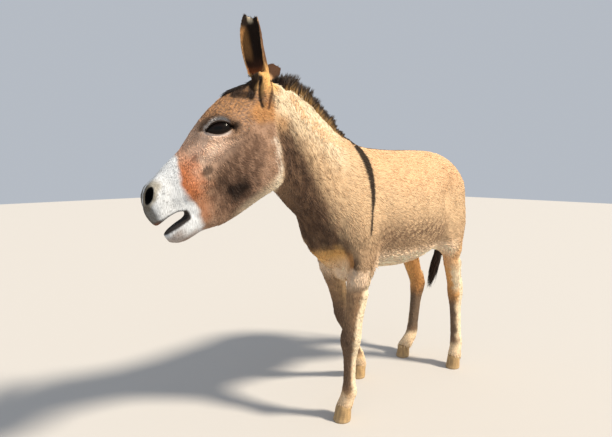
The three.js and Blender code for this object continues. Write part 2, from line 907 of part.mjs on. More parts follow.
const ears = {
  left: makeEar({
    root: [22, left * 50, 30],
    axis: [-0.565, right * 0.2, 0.8],
    facing: [0.5, left * 0.74, 0.45],
    bend: 10,
  }),
  right: makeEar({
    root: [22, right * 50, 24],
    axis: [-0.797, right * 0.604, 0.02],
    facing: [0.3, right * 0.75, -0.3],
    bend: 10,
  }),
};

function earPoint(ear, t, s, offset) {
  const row = tableAt(earShape, t);
  const angle = (s * row[1]) / row[2];
  const radius = row[2] + offset;
  return ear.base
    .clone()
    .addScaledVector(ear.axis, t * earLength - tipDip(t, s))
    .addScaledVector(ear.across, Math.sin(angle) * radius)
    .addScaledVector(ear.open, -Math.cos(angle) * radius + row[2] * 0.45)
    .addScaledVector(ear.open, ear.bend * Math.sin(t * Math.PI * 0.5) ** 2)
    .toArray();
}

const tipDip = (t, s) =>
  earNotch * smoothStep(0.6, 1, t) * ((1 - s * s) ** 2 + 0.5 * Math.max(0, s));

function tableAt(table, t) {
  let i = 0;
  while (i < table.length - 2 && table[i + 1][0] < t) i++;
  const share = clamp((t - table[i][0]) / (table[i + 1][0] - table[i][0]), 0, 1);
  return catmullRom(table, i, share);
}

function earSolid(ear) {
  const rows = 9;
  const columns = 8;
  const start = 0.02;
  const rings = [];
  for (let i = 0; i <= rows; i++) {
    const t = mix(start, 1, i / rows);
    const wall = tableAt(earShape, t)[3] / 2;
    const outer = [];
    const inner = [];
    for (let j = 0; j <= columns; j++) {
      const s = mix(-1, 1, j / columns);
      const edge = wall * (1 - 0.45 * Math.abs(s) ** 6);
      outer.push(earPoint(ear, t, s, edge));
      inner.unshift(earPoint(ear, t, s, -edge));
    }
    rings.push([...outer, ...inner]);
  }
  const solid = outward(
    solidOf(skinRings(rings, [middleOf(rings[0]), middleOf(rings[rings.length - 1])])),
  );
  const below = ear.cut.clone().addScaledVector(ear.axis, gap);
  return biggest(solid.subtract(halfSpace(below, ear.axis.clone().negate())));
}

// The stalk that carries an ear, from inside the skull to just above the cut.
function earRoot(ear, side, grow = 0) {
  const inside = fromHead([44, side * 30, -40]);
  const at = (t) => ear.base.clone().addScaledVector(ear.axis, t);
  const row = (p, wide, deep) => [...p.toArray(), wide, deep];
  const path = [
    row(inside, 26, 28),
    row(inside.clone().lerp(at(0), 0.5), 34, 38),
    row(at(4), 34, 38),
    row(at(26), 28, 33),
    row(at(64), 26, 31),
  ];
  const tube = limb(path, ear.across);
  const run = drawnOut(path, 3).slice(1, 12);
  const stops = run.map((r, i) => {
    const tangent = vec(run[Math.min(i + 1, run.length - 1)])
      .sub(vec(run[Math.max(i - 1, 0)]))
      .normalize();
    const side = ear.across.clone().projectOnPlane(tangent).normalize();
    return { centre: vec(r), up: new THREE.Vector3().crossVectors(side, tangent), side };
  });
  return ringSolid({ field: (p) => tube(p) - grow, stops, spokes: 12 });
}

// ---------------------------------------------------------------- legs
function legStops(rows, from, to, count, endNormal) {
  const run = drawnOut(rows, 8).filter((r) => r[2] <= from[2] + 1 && r[2] >= to - 1);
  const path = new THREE.CatmullRomCurve3([vec(from), ...run.slice(1).map(vec)]);
  const stops = [];
  for (let i = 0; i <= count; i++) {
    const t = i / count;
    const centre = path.getPointAt(t);
    const tangent = path.getTangentAt(t);
    const ends = t === 0 ? vec([0, 0, -1]) : t === 1 && endNormal ? endNormal : tangent;
    const side = new THREE.Vector3(0, 1, 0);
    side.addScaledVector(ends, -side.dot(ends)).normalize();
    const up = new THREE.Vector3().crossVectors(side, ends).normalize();
    stops.push({ centre, up, side: new THREE.Vector3().crossVectors(ends, up) });
  }
  return stops;
}

// Where a leg's rows pass a height.
function rowAtHeight(rows, height) {
  const run = drawnOut(rows, 12);
  const i = run.findIndex((r, n) => n > 0 && r[2] <= height);
  const t = (run[i - 1][2] - height) / (run[i - 1][2] - run[i][2]);
  return run[i].map((x, k) => mix(run[i - 1][k], x, t));
}

function legSolids(rows, joint, coronet, cutHeight) {
  const side = Math.sign(joint[1]);
  const ownFlesh = (p) => Math.max(flesh(p), legInside + gap - side * p.y);
  const top = rowAtHeight(rows, cutHeight);
  const upperRows = [
    [...top.slice(0, 2), cutHeight - gap, top[3], top[4]],
    ...rows.filter((r) => r[2] < cutHeight),
  ];
  const middle = rowAtHeight(rows, joint[2]);
  const upper = ringSolid({
    field: ownFlesh,
    stops: levelEnds(legStops(upperRows, upperRows[0], joint[2] + 6, 8)),
    spokes: 12,
  })
    .subtract(halfSpace(vec(middle), vec([0, 0, -1])))
    .subtract(halfSpace(vec([0, 0, cutHeight - gap]), vec([0, 0, 1])));
  const lowerRows = [
    [...middle.slice(0, 2), joint[2] - gap, middle[3], middle[4]],
    ...rows.filter((r) => r[2] < joint[2]),
  ];
  const lower = ringSolid({
    field: flesh,
    stops: legStops(lowerRows, lowerRows[0], coronet[2], 10, coronetNormal),
    spokes: 12,
  });
  return { upper, lower };
}

const levelEnds = (stops) => {
  const last = stops[stops.length - 1];
  const down = vec([0, 0, -1]);
  last.side = vec([0, 1, 0]);
  last.up = new THREE.Vector3().crossVectors(last.side, down).normalize();
  last.side = new THREE.Vector3().crossVectors(down, last.up);
  return stops;
};

// The hoof's top slopes down towards the heel.
const coronetSlope = 0.337;
const coronetNormal = vec([-coronetSlope, 0, -1]).normalize();

function hoofSolid(leg, wide, long) {
  const [x, y, z] = leg.coronet;
  const spokes = 14;
  const ring = (height, halfWide, halfLong, ahead, tilt) => {
    const points = [];
    for (let j = 0; j < spokes; j++) {
      const a = (2 * Math.PI * j) / spokes;
      const forward = Math.cos(a) * halfLong * (Math.cos(a) < 0 ? 0.86 : 1);
      const outwards = Math.sin(a) * halfWide * (1 + 0.06 * Math.cos(a));
      const toToe = ahead + forward;
      points.push([x - toToe, y + outwards, tilt ? height + toToe * coronetSlope : height]);
    }
    return points;
  };
  const rings = [
    ring(z - gap, wide * 0.84, long * 0.8, 0, true),
    ring(z * 0.72, wide * 0.9, long * 0.86, long * 0.1, true),
    ring(z * 0.36, wide * 0.95, long * 0.93, long * 0.2, false),
    ring(4, wide, long, long * 0.3, false),
    ring(0, wide - 2, long - 2, long * 0.3, false),
  ];
  return outward(solidOf(skinRings(rings, [middleOf(rings[0]), middleOf(rings[4])])));
}

// ---------------------------------------------------------------- trunk
function trunkSolid() {
  const clearOfLegs = (p) => {
    const inside = legInside - Math.abs(p.y);
    const fore = Math.max(-p.x - 540, p.x + 170, inside, p.z - legCutHeight.fore + 22);
    const hind = Math.max(190 - p.x, p.x - 640, inside, p.z - legCutHeight.hind + 22);
    return -Math.min(fore, hind);
  };
  const field = (p) => {
    const ahead = new THREE.Vector3().subVectors(p, neckCut.point).dot(neckCut.normal);
    return Math.max(flesh(p), ahead - 24, clearOfLegs(p));
  };
  let solid = netSolid(field, [-640, -330, 490], [640, 330, 1210], 52);
  solid = solid.subtract(halfSpace(neckCut.point, neckCut.normal));
  for (const side of [left, right]) {
    const [low, high] = side < 0 ? [-320, -legInside] : [legInside, 320];
    solid = solid
      .subtract(boxSolid([-560, low, 400], [-170, high, legCutHeight.fore]))
      .subtract(boxSolid([190, low, 400], [660, high, legCutHeight.hind]));
  }
  return biggest(solid);
}

// ---------------------------------------------------------------- tail
const tailPath = [
  [484, 0, 1040, 26, 26],
  [530, 1, 994, 25, 27],
  [558, 6, 900, 22, 24],
  [562, 18, 780, 20, 22],
  [562, 34, 670, 22, 24],
  [556, 54, 565, 28, 30],
  [546, 74, 470, 26, 28],
  [536, 90, 396, 8, 8],
];

function tailSolids(grow = 0) {
  const tube = limb(tailPath);
  const field = (p) => tube(p) - grow;
  const run = new THREE.CatmullRomCurve3(tailPath.map(vec));
  const stop = (t) => {
    const tangent = run.getTangentAt(t);
    const side = vec([0, 1, 0]);
    side.addScaledVector(tangent, -side.dot(tangent)).normalize();
    const up = new THREE.Vector3().crossVectors(side, tangent);
    return { centre: run.getPointAt(t), up, side };
  };
  const split = 0.52; // where the long hair starts, as a share of the tail's length
  const dock = [];
  const tuft = [];
  for (let i = 0; i <= 7; i++) dock.push(stop(mix(0.02, split, i / 7)));
  for (let i = 0; i <= 8; i++) tuft.push(stop(mix(split, 0.985, i / 8)));
  tuft[0].centre.addScaledVector(run.getTangentAt(split), gap);
  dock[0].centre.addScaledVector(run.getTangentAt(0), -grow * 4);
  return {
    dock: ringSolid({ field, stops: dock, spokes: 10 }),
    tuft: ringSolid({ field, stops: tuft, spokes: 10, dome: 1 }),
  };
}

// ---------------------------------------------------------------- mane and forelock
// Upright hair over the crest: rows [x, y, z of the crest, height above it, half-width].
const maneRows = [
  [-312, -1, 1140, 12, 14],
  [-352, -3, 1156, 24, 17],
  [-424, -10, 1190, 36, 19],
  [-498, -22, 1232, 46, 20],
  [-570, -38, 1266, 54, 21],
  [-640, -56, 1288, 67, 22],
  [-700, -73, 1296, 78, 22],
  [-748, -87, 1298, 78, 18],
];
const forelockRows = [
  [10, 0, 32, 16, 22],
  [44, 0, 47, 17, 26],
  [84, 0, 68, 11, 24],
  [112, 0, 76, 4, 14],
];

function crestSolid(rows, upward, sunk) {
  const run = drawnOut(rows, 2);
  const rings = run.map((row, i) => {
    const here = vec(row);
    const ahead = vec(run[Math.min(i + 1, run.length - 1)])
      .sub(vec(run[Math.max(i - 1, 0)]))
      .normalize();
    const side = new THREE.Vector3().crossVectors(upward, ahead).normalize();
    const up = new THREE.Vector3().crossVectors(ahead, side).normalize();
    const [height, wide] = [row[3], row[4]];
    const section = [
      [1, -sunk],
      [0.96, height * 0.2],
      [0.72, height * 0.6],
      [0.34, height * 0.95],
      [-0.34, height * 0.95],
      [-0.72, height * 0.6],
      [-0.96, height * 0.2],
      [-1, -sunk],
    ];
    return section.map(([share, rise]) =>
      here.clone().addScaledVector(side, share * wide).addScaledVector(up, rise).toArray(),
    );
  });
  const ends = [middleOf(rings[0]), middleOf(rings[rings.length - 1])];
  return outward(solidOf(skinRings(rings, ends)));
}

// ---------------------------------------------------------------- assembly
const coatLooks = { color: 0xc2996f, roughness: 0.92, metalness: 0 };
const faceLooks = { ...coatLooks, color: 0xa98368 };
const muzzleLooks = { ...coatLooks, color: 0xd8d4cf };
const earLooks = { ...coatLooks, color: 0xb98d62 };
const legLooks = { ...coatLooks, color: 0xcbb08d };
const darkHairLooks = { color: 0x33251f, roughness: 0.8, metalness: 0 };
const hoofLooks = { color: 0xb0925e, roughness: 0.55, metalness: 0 };
const eyeLooks = { color: 0x120d0b, roughness: 0.08, metalness: 0 };

const donkey = new THREE.Group();
function add(name, solid, looks) {
  const mesh = new THREE.Mesh(geometryOf(solid), new THREE.MeshStandardMaterial(looks));
  mesh.name = name;
  donkey.add(mesh);
}

const trunk = trunkSolid().subtract(tailSolids(gap).dock);
const neck = neckSolid();
const { head, jaw } = headAndJaw();
const grownHead = wholeHead(gap, 6);
const grownNeck = neckSolid(gap, 6);
const tail = tailSolids();

add("trunk", trunk, coatLooks);
add("neck", neck, coatLooks);
add("head", head, faceLooks);
add("lower_jaw", jaw, muzzleLooks);
for (const [name, side] of [["left", left], ["right", right]]) {
  add(`eye_${name}`, ballSolid(eyeCentre(side), eyeRadius), eyeLooks);
  add(`ear_${name}`, biggest(earSolid(ears[name]).subtract(grownNeck)), earLooks);
}

const hairSunk = 30; // how far the mane and forelock reach down before the flesh cuts them
const aheadOfTrunk = movedBy({ centre: neckCut.point }, neckCut.normal, gap).centre;
const mane = crestSolid(maneRows, vec([0, 0, 1]), hairSunk)
  .subtract(grownNeck)
  .subtract(grownHead)
  .subtract(halfSpace(aheadOfTrunk, neckCut.normal.clone().negate()));
add("mane", biggest(mane), darkHairLooks);
const forelock = crestSolid(forelockRows.map(headRow), headAbove, hairSunk)
  .subtract(grownHead)
  .subtract(grownNeck)
  .subtract(earRoot(ears.left, left, gap))
  .subtract(earRoot(ears.right, right, gap));
add("forelock", biggest(forelock), darkHairLooks);

for (const [name, leg] of Object.entries(forelegs)) {
  const { upper, lower } = legSolids(foreRows(leg), leg.knee, leg.coronet, legCutHeight.fore);
  add(`forearm_${name}`, upper, legLooks);
  add(`fore_cannon_${name}`, lower, legLooks);
  add(`fore_hoof_${name}`, hoofSolid(leg, 37, 42), hoofLooks);
}
for (const [name, leg] of Object.entries(hindlegs)) {
  const { upper, lower } = legSolids(hindRows(leg), leg.hock, leg.coronet, legCutHeight.hind);
  add(`gaskin_${name}`, upper, legLooks);
  add(`hind_cannon_${name}`, lower, legLooks);
  add(`hind_hoof_${name}`, hoofSolid(leg, 35, 42), hoofLooks);
}
add("dock", tail.dock, coatLooks);
add("tail_tuft", tail.tuft, darkHairLooks);

// The origin is on the ground, under the middle of the whole animal.
const bounds = new THREE.Box3().setFromObject(donkey);
donkey.position.set(
  -(bounds.min.x + bounds.max.x) / 2,
  -(bounds.min.y + bounds.max.y) / 2,
  -bounds.min.z,
);

export default donkey;
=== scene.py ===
# A donkey at life size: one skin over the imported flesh, a short coat of small tufts that follow
# its lie, an upright mane, eyes with lids and lashes, and hooves.

import math

import bmesh
import bpy
import numpy as np
from mathutils import Matrix, Vector
from mathutils.bvhtree import BVHTree


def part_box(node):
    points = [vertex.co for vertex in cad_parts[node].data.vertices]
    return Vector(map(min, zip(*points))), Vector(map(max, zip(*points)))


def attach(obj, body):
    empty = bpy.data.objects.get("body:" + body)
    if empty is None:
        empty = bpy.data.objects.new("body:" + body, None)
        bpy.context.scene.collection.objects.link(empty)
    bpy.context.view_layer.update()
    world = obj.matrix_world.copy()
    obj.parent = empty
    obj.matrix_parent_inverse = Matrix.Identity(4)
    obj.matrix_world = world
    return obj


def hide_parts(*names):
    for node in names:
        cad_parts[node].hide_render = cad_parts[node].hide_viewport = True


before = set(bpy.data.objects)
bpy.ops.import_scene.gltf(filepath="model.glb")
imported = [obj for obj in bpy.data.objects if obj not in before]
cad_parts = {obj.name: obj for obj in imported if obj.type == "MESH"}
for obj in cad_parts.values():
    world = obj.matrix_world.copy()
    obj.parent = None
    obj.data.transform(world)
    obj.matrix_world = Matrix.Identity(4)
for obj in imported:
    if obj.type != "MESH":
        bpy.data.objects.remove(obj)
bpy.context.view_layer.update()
draw = np.random.default_rng(11)
print("frame loaded:", len(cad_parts), "nodes")

# places are in metres, in the animal's own frame: it faces -X, its left is -Y, the floor is at 0
donkey = {
    "leadingToe": -0.4606,  # x of the left fore toe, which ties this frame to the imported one
    "poll": (-0.824, -0.097, 1.305),
    "headYaw": 20.0,
    "headPitch": 41.0,
}
shift = np.array([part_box("fore_hoof_left")[0].x - donkey["leadingToe"], 0.0, 0.0])
sides = {"left": -1.0, "right": 1.0}


def unit(v):
    v = np.asarray(v, float)
    return v / np.maximum(np.linalg.norm(v, axis=-1, keepdims=True), 1e-12)


def ramp(start, end, x):  # 0 up to start and 1 from end, soft between them
    t = np.clip((np.asarray(x, float) - start) / (end - start), 0.0, 1.0)
    return t * t * (3.0 - 2.0 * t)


def bell(x, width):
    return np.exp(-((x / width) ** 2))


def mix(a, b, share):
    share = np.asarray(share)
    return a + (b - a) * (share[..., None] if np.ndim(a) > np.ndim(share) else share)


def tiled(row, count):
    return np.tile(np.asarray(row, float), (count, 1))


def onSide(point, side):
    return np.asarray(point, float) * (1.0, side, 1.0)


def headFrame():
    yaw, pitch = math.radians(donkey["headYaw"]), math.radians(donkey["headPitch"])
    along = unit(
        (-math.cos(yaw) * math.cos(pitch), math.sin(yaw) * math.cos(pitch), -math.sin(pitch))
    )
    across = unit((math.sin(yaw), math.cos(yaw), 0.0))
    return np.array([along, across, np.cross(across, along)])


# the head's own frame starts at the poll: along to the nose, across to the right, above
headAxes = headFrame()
poll = np.array(donkey["poll"])


def toHead(own):
    return (own - poll) @ headAxes.T


def fromHead(place):
    return poll + np.asarray(place, float) @ headAxes


def headWay(way):
    return unit(np.asarray(way, float) @ headAxes)


def nearPath(own, path):  # distance from a run of straight stretches, and share of the way
    path = np.asarray(path, float)
    lengths = np.linalg.norm(np.diff(path, axis=0), axis=1)
    passed = np.concatenate([[0.0], np.cumsum(lengths)])
    best = np.full(len(own), np.inf)
    share = np.zeros(len(own))
    for start, end, length, before in zip(path[:-1], path[1:], lengths, passed):
        way = (end - start) / length
        reach = np.clip((own - start) @ way, 0.0, length)
        distance = np.linalg.norm(own - start - reach[:, None] * way, axis=1)
        closer = distance < best
        best[closer] = distance[closer]
        share[closer] = (before + reach[closer]) / passed[-1]
    return best, share


def awayFrom(own, path):
    return nearPath(own, path)[0]


legs = {  # the line down the middle of each leg
    "foreLeft": ((-0.352, -0.126, 0.665), (-0.416, -0.12, 0.362), (-0.392, -0.094, 0.116),
                 (-0.406, -0.082, 0.058)),
    "foreRight": ((-0.28, 0.118, 0.665), (-0.176, 0.132, 0.362), (-0.06, 0.134, 0.116),
                  (-0.036, 0.136, 0.06)),
    "hindLeft": ((0.346, -0.136, 0.69), (0.446, -0.116, 0.412), (0.432, -0.14, 0.118),
                 (0.412, -0.144, 0.06)),
    "hindRight": ((0.332, 0.136, 0.69), (0.466, 0.126, 0.396), (0.42, 0.127, 0.112),
                  (0.35, 0.128, 0.058)),
}
legs = {name: np.array(line) for name, line in legs.items()}


def legAt(line, z):  # x and y of a leg's middle at a height
    return [np.interp(z, line[::-1, 2], line[::-1, k]) for k in (0, 1)]


def legPlace(own):  # nearest leg: distance from its line, forward and outward share, hind or not
    best = np.full(len(own), np.inf)
    forward, outward = np.zeros((2, len(own)))
    hind = np.zeros(len(own), bool)
    for name, line in legs.items():
        x, y = legAt(line, np.clip(own[:, 2], line[-1, 2], line[0, 2]))
        d = np.hypot(own[:, 0] - x, own[:, 1] - y)
        closer = d < best
        best[closer] = d[closer]
        forward[closer] = ((x - own[:, 0]) / np.maximum(d, 1e-4))[closer]
        outward[closer] = ((own[:, 1] - y) * np.sign(line[0, 1]) / np.maximum(d, 1e-4))[closer]
        hind[closer] = name.startswith("hind")
    return best, forward, outward, hind


# each ear: its foot, the way that it points and the way that its cup faces, in the head's frame
earShapes = {
    "left": ((0.022, -0.05, 0.03), (-0.565, 0.2, 0.8), (0.5, -0.74, 0.45)),
    "right": ((0.022, 0.05, 0.024), (-0.797, 0.604, 0.02), (0.3, 0.75, -0.3)),
}
earSize = {"length": 0.238, "reach": 0.085, "curl": 0.016}


def earFrame(name):
    foot, axis, facing = earShapes[name]
    along, opening = headWay(axis), headWay(facing)
    opening = unit(opening - along * (opening @ along))
    across = np.cross(along, opening) * -sides[name]  # towards the outer edge of the ear
    return {"base": fromHead(foot), "axis": along, "open": opening, "across": across}


ears = {name: earFrame(name) for name in earShapes}


def earPlace(own, ear):  # share of its length, the way out from its curl, and how far out
    t = (own - ear["base"]) @ ear["axis"] / earSize["length"]
    middle = ear["base"] + ear["axis"] * (t[:, None] * earSize["length"]) + ear["open"] * earSize["curl"]
    return t, unit(own - middle), own - middle


def earShare(own, ear, start, end, reach=earSize["reach"]):  # 1 on the free part of this ear
    t, _, offset = earPlace(own, ear)
    return ramp(start, end, t) * (np.linalg.norm(offset, axis=1) < reach)


lids = {
    "gaze": (0.16, 1.0, 0.16),  # along, outwards and above, in the head's frame
    "slant": (0.82, -0.1, 0.57),  # the long way of the eye, towards its inner corner
    "ahead": 0.025,  # how far the lids stand before the middle of the eye
    "halfLength": 0.0385,
    "upper": 0.0185,
    "lower": 0.0125,
    "slope": -0.05,
    "thick": 0.0026,
    "ball": (0.039, 0.028, 0.027),  # half-sizes of the eye: long, tall, deep
    "sunk": 0.011,
}


def eyeFrame(name):
    low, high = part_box("eye_" + name)
    centre = (np.array(low) + np.array(high)) / 2.0 - shift
    gaze, long = (headWay(onSide(lids[key], sides[name])) for key in ("gaze", "slant"))
    long = unit(long - gaze * (long @ gaze))
    tall = np.cross(long, gaze)
    tall = tall if tall[2] > 0 else -tall
    return {
        "centre": centre,
        "lids": centre + gaze * lids["ahead"] - long * 0.005,
        "axes": np.array([long, tall, gaze]),
    }


eyes = {name: eyeFrame(name) for name in sides}


def upperLid(share):
    return lids["upper"] * (1.0 - share**2.2)


def ballDome(x, y, least):  # how far the lids stand out over the ball
    a, b, c = (size + lids["thick"] for size in lids["ball"])
    return c * np.sqrt(np.clip(1 - (x / a) ** 2 - (y / b) ** 2, least, 1)) - lids["ahead"]


def lidCurves(eye, own):  # place over the eye, how far inside its opening, and upper half or not
    local = (own - eye["lids"]) @ eye["axes"].T
    x, y = local[:, 0], local[:, 1]
    share = np.clip(np.abs(x) / lids["halfLength"], 0.0, 1.0)
    upper = upperLid(share) + lids["slope"] * x
    lower = -lids["lower"] * (1.0 - share**2.0) + lids["slope"] * x
    past = np.abs(x) - lids["halfLength"]
    inside = np.minimum(upper - y, y - lower)
    inside = np.where(past > 0, -np.hypot(past, y - lids["slope"] * x), inside)
    return local, inside, y > (upper + lower) / 2.0


nostril = {
    "place": (0.5207, 0.0476, 0.0065),
    "long": (-0.59, 0.54, 0.6),
    "deep": (0.6, 0.75, 0.2),
    "halfWidth": 0.0125,
    "halfLength": 0.0235,
}


def nostrilAxes(side):
    long, deep = (headWay(onSide(nostril[key], side)) for key in ("long", "deep"))
    return np.array([unit(np.cross(long, deep)), long, deep])


def nostrilPlace(own, side):  # distance as a share of the opening, depth, and a soft limit
    d = own - fromHead(onSide(nostril["place"], side))
    wide, long, deep = nostrilAxes(side)
    reach = np.hypot(d @ wide / nostril["halfWidth"], d @ long / nostril["halfLength"])
    return reach, d @ deep, ramp(0.07, 0.045, np.linalg.norm(d, axis=1))


mouth = {  # the line of the open mouth: along the head, above its axis, and no third measure
    "upper": ((0.467, -0.106, 0), (0.482, -0.092, 0), (0.504, -0.084, 0), (0.530, -0.078, 0),
              (0.556, -0.073, 0)),
    "lower": ((0.467, -0.108, 0), (0.474, -0.121, 0), (0.506, -0.118, 0), (0.536, -0.113, 0),
              (0.556, -0.11, 0)),
}


def headMask(own):  # 1 on the head, 0 on the neck, with a soft edge at the jowl
    ahead = (own - fromHead((0.086, 0.0, -0.112))) @ headWay((0.85, 0.0, 0.527))
    return ramp(-0.012, 0.012, ahead) * (own[:, 0] < -0.6) * (own[:, 2] > 0.7)


def speckle(own, size, seed):  # smooth random value in 0..1 that changes over about this size
    waves = np.random.default_rng(seed)
    total = np.zeros(len(own))
    for _ in range(9):
        way = unit(waves.normal(size=3)) * 2.0 * math.pi / (size * waves.uniform(0.7, 1.6))
        total += np.sin(own @ way + waves.uniform(0.0, 6.3))
    return 0.5 + 0.5 * np.clip(total / 4.0, -1.0, 1.0)


camera = {"place": (-1.86, -1.33, 1.06), "yaw": 45.5, "pitch": -6.294, "lens": 28.0}


def inScene(name, data):
    piece = bpy.data.objects.new(name, data)
    bpy.context.scene.collection.objects.link(piece)
    return piece


def makeCamera():
    data = bpy.data.cameras.new("camera")
    data.lens = camera["lens"]
    data.sensor_width = 36.0
    data.sensor_fit = "HORIZONTAL"
    data.clip_start = 0.05
    piece = inScene("camera", data)
    yaw, pitch = math.radians(camera["yaw"]), math.radians(camera["pitch"])
    way = Vector((math.cos(yaw) * math.cos(pitch), math.sin(yaw) * math.cos(pitch), math.sin(pitch)))
    piece.location = Vector(camera["place"]) + Vector(shift)
    piece.rotation_euler = way.to_track_quat("-Z", "Y").to_euler()
    bpy.context.scene.camera = piece


makeCamera()

# markings
paints = {
    "fawn": (0.69, 0.49, 0.3),
    "tan": (0.8, 0.52, 0.3),
    "grey": (0.27, 0.165, 0.1),
    "cream": (0.9, 0.76, 0.55),
    "white": (0.76, 0.8, 0.84),
    "belly": (0.98, 0.75, 0.54),
    "cheek": (0.2, 0.115, 0.075),
    "face": (0.42, 0.265, 0.18),
    "rust": (0.55, 0.17, 0.055),
    "rose": (0.95, 0.68, 0.52),
    "brow": (0.25, 0.145, 0.085),
    "orange": (0.66, 0.33, 0.12),
    "amber": (0.85, 0.5, 0.18),
    "olive": (0.3, 0.27, 0.2),
    "snout": (0.11, 0.1, 0.085),
    "dark": (0.02, 0.013, 0.01),
    "soot": (0.06, 0.042, 0.033),
    "leg": (0.62, 0.4, 0.22),
    "shin": (0.13, 0.085, 0.06),
    "ear": (0.62, 0.35, 0.16),
    "earEdge": (0.07, 0.03, 0.018),
}
paints = {name: np.array(value) for name, value in paints.items()}
stripe = {  # over the shoulder, from the withers down
    "path": ((-0.32, 0.0, 1.155), (-0.304, -0.053, 1.144), (-0.302, -0.083, 1.111),
             (-0.304, -0.11, 1.072), (-0.306, -0.131, 1.029), (-0.315, -0.149, 0.976),
             (-0.323, -0.16, 0.926), (-0.338, -0.167, 0.862), (-0.363, -0.175, 0.769)),
    "shares": (0.0, 0.25, 0.45, 0.6, 0.75, 0.92, 1.0),
    "halfWidths": (0.022, 0.0255, 0.021, 0.0145, 0.0095, 0.0065, 0.0),
    "backHalfWidth": 0.016,
}
neck = {
    "crest": ((-0.3, 0, 1.1), (-0.56, -0.036, 1.238), (-0.79, -0.09, 1.3)),
    # the dark band down the neck and across the breast, and the throat below it; both are partly dark hair
    # and partly painted shade under the neck, behind the jaw and at the breast's muscle edge
    "band": ((-0.827, -0.159, 1.233), (-0.789, -0.165, 1.112), (-0.67, -0.11, 0.985),
             (-0.6, -0.085, 0.9), (-0.53, -0.07, 0.79), (-0.448, -0.07, 0.7), (-0.4, -0.09, 0.655)),
    "throat": ((-0.79, -0.13, 1.03), (-0.69, -0.075, 0.94), (-0.6, -0.03, 0.85)),
    "earFoot": ((-0.87, -0.156, 1.23), (-0.81, -0.162, 1.2)),
    # y of the neck's own middle, which leans to the left ahead of the withers
    "middleX": (-0.79, -0.64, -0.5, -0.31),
    "middleY": (-0.1, -0.056, -0.022, 0.0),
}
muzzle = {
    # how far along the head the white starts, at heights above its axis
    "heights": (-0.26, -0.183, -0.14, -0.107, -0.074, -0.044, -0.001, 0.033, 0.08),
    "edge": (0.47, 0.462, 0.443, 0.433, 0.434, 0.43, 0.402, 0.374, 0.36),
    "soft": 0.011,
}
face = {  # lines in the head's frame; those with no third measure run along and above
    "jowl": ((0.215, -0.075, 0), (0.33, -0.165, 0)),
    "jaw": ((0.103, -0.125, 0), (0.119, -0.157, 0), (0.154, -0.211, 0), (0.208, -0.256, 0)),
    "front": ((0.55, 0.0, 0.04), (0.572, 0.0, 0.0), (0.575, 0.0, -0.06)),
    "tip": ((0.515, 0.045, 0.03), (0.545, 0.035, 0.0), (0.56, 0.03, -0.04), (0.562, 0.025, -0.075)),
    # dark spots of the cheek: place, half-sizes, depth
    "spots": (
        ((0.338, -0.052), (0.019, 0.014), 0.75),
        ((0.306, -0.16), (0.038, 0.028), 1.0),
        ((0.325, -0.12), (0.022, 0.03), 0.5),
    ),
    # marks beside the forelock: path, half-width, paint, depth
    "marks": (
        (((0.02, -0.02, 0.055), (0.08, -0.012, 0.078)), 0.038, "dark", 0.9),
        (((0.05, -0.03, 0.07), (0.1, -0.045, 0.07)), 0.02, "dark", 0.85),
        (((0.115, -0.05, 0.066), (0.1, -0.064, 0.052), (0.085, -0.07, 0.042)), 0.013, "dark", 0.85),
        (((0.09, -0.077, -0.026), (0.06, -0.07, -0.045)), 0.03, "orange", 0.7),
    ),
    # dark lines at the foot of the ears: painted shade in the creases that the face grooves cut there
    "earMarks": (
        (((-0.005, -0.05, 0.095), (0.02, -0.056, 0.075), (0.03, -0.06, 0.062), (0.055, -0.064, 0.051),
          (0.072, -0.075, 0.037), (0.084, -0.078, 0.03)), 0.0105, "dark", 0.97),
        (((0.02, -0.079, 0.056), (0.049, -0.083, 0.027), (0.066, -0.08, 0.003),
          (0.073, -0.078, -0.015)), 0.006, "dark", 1.0),
        (((-0.01, -0.062, 0.025), (0.009, -0.08, 0.006), (0.04, -0.078, -0.017),
          (0.06, -0.076, -0.032)), 0.0055, "earEdge", 0.9),
    ),
}
streakTurn = np.array(Matrix.Rotation(math.radians(55), 3, "Y"))
paintRange = (0.004, 0.95)


def over(colour, *layers):  # lays each paint over the last by its share at each place
    for tint, share in layers:
        colour = mix(colour, paints[tint] if isinstance(tint, str) else tint, share)
    return colour


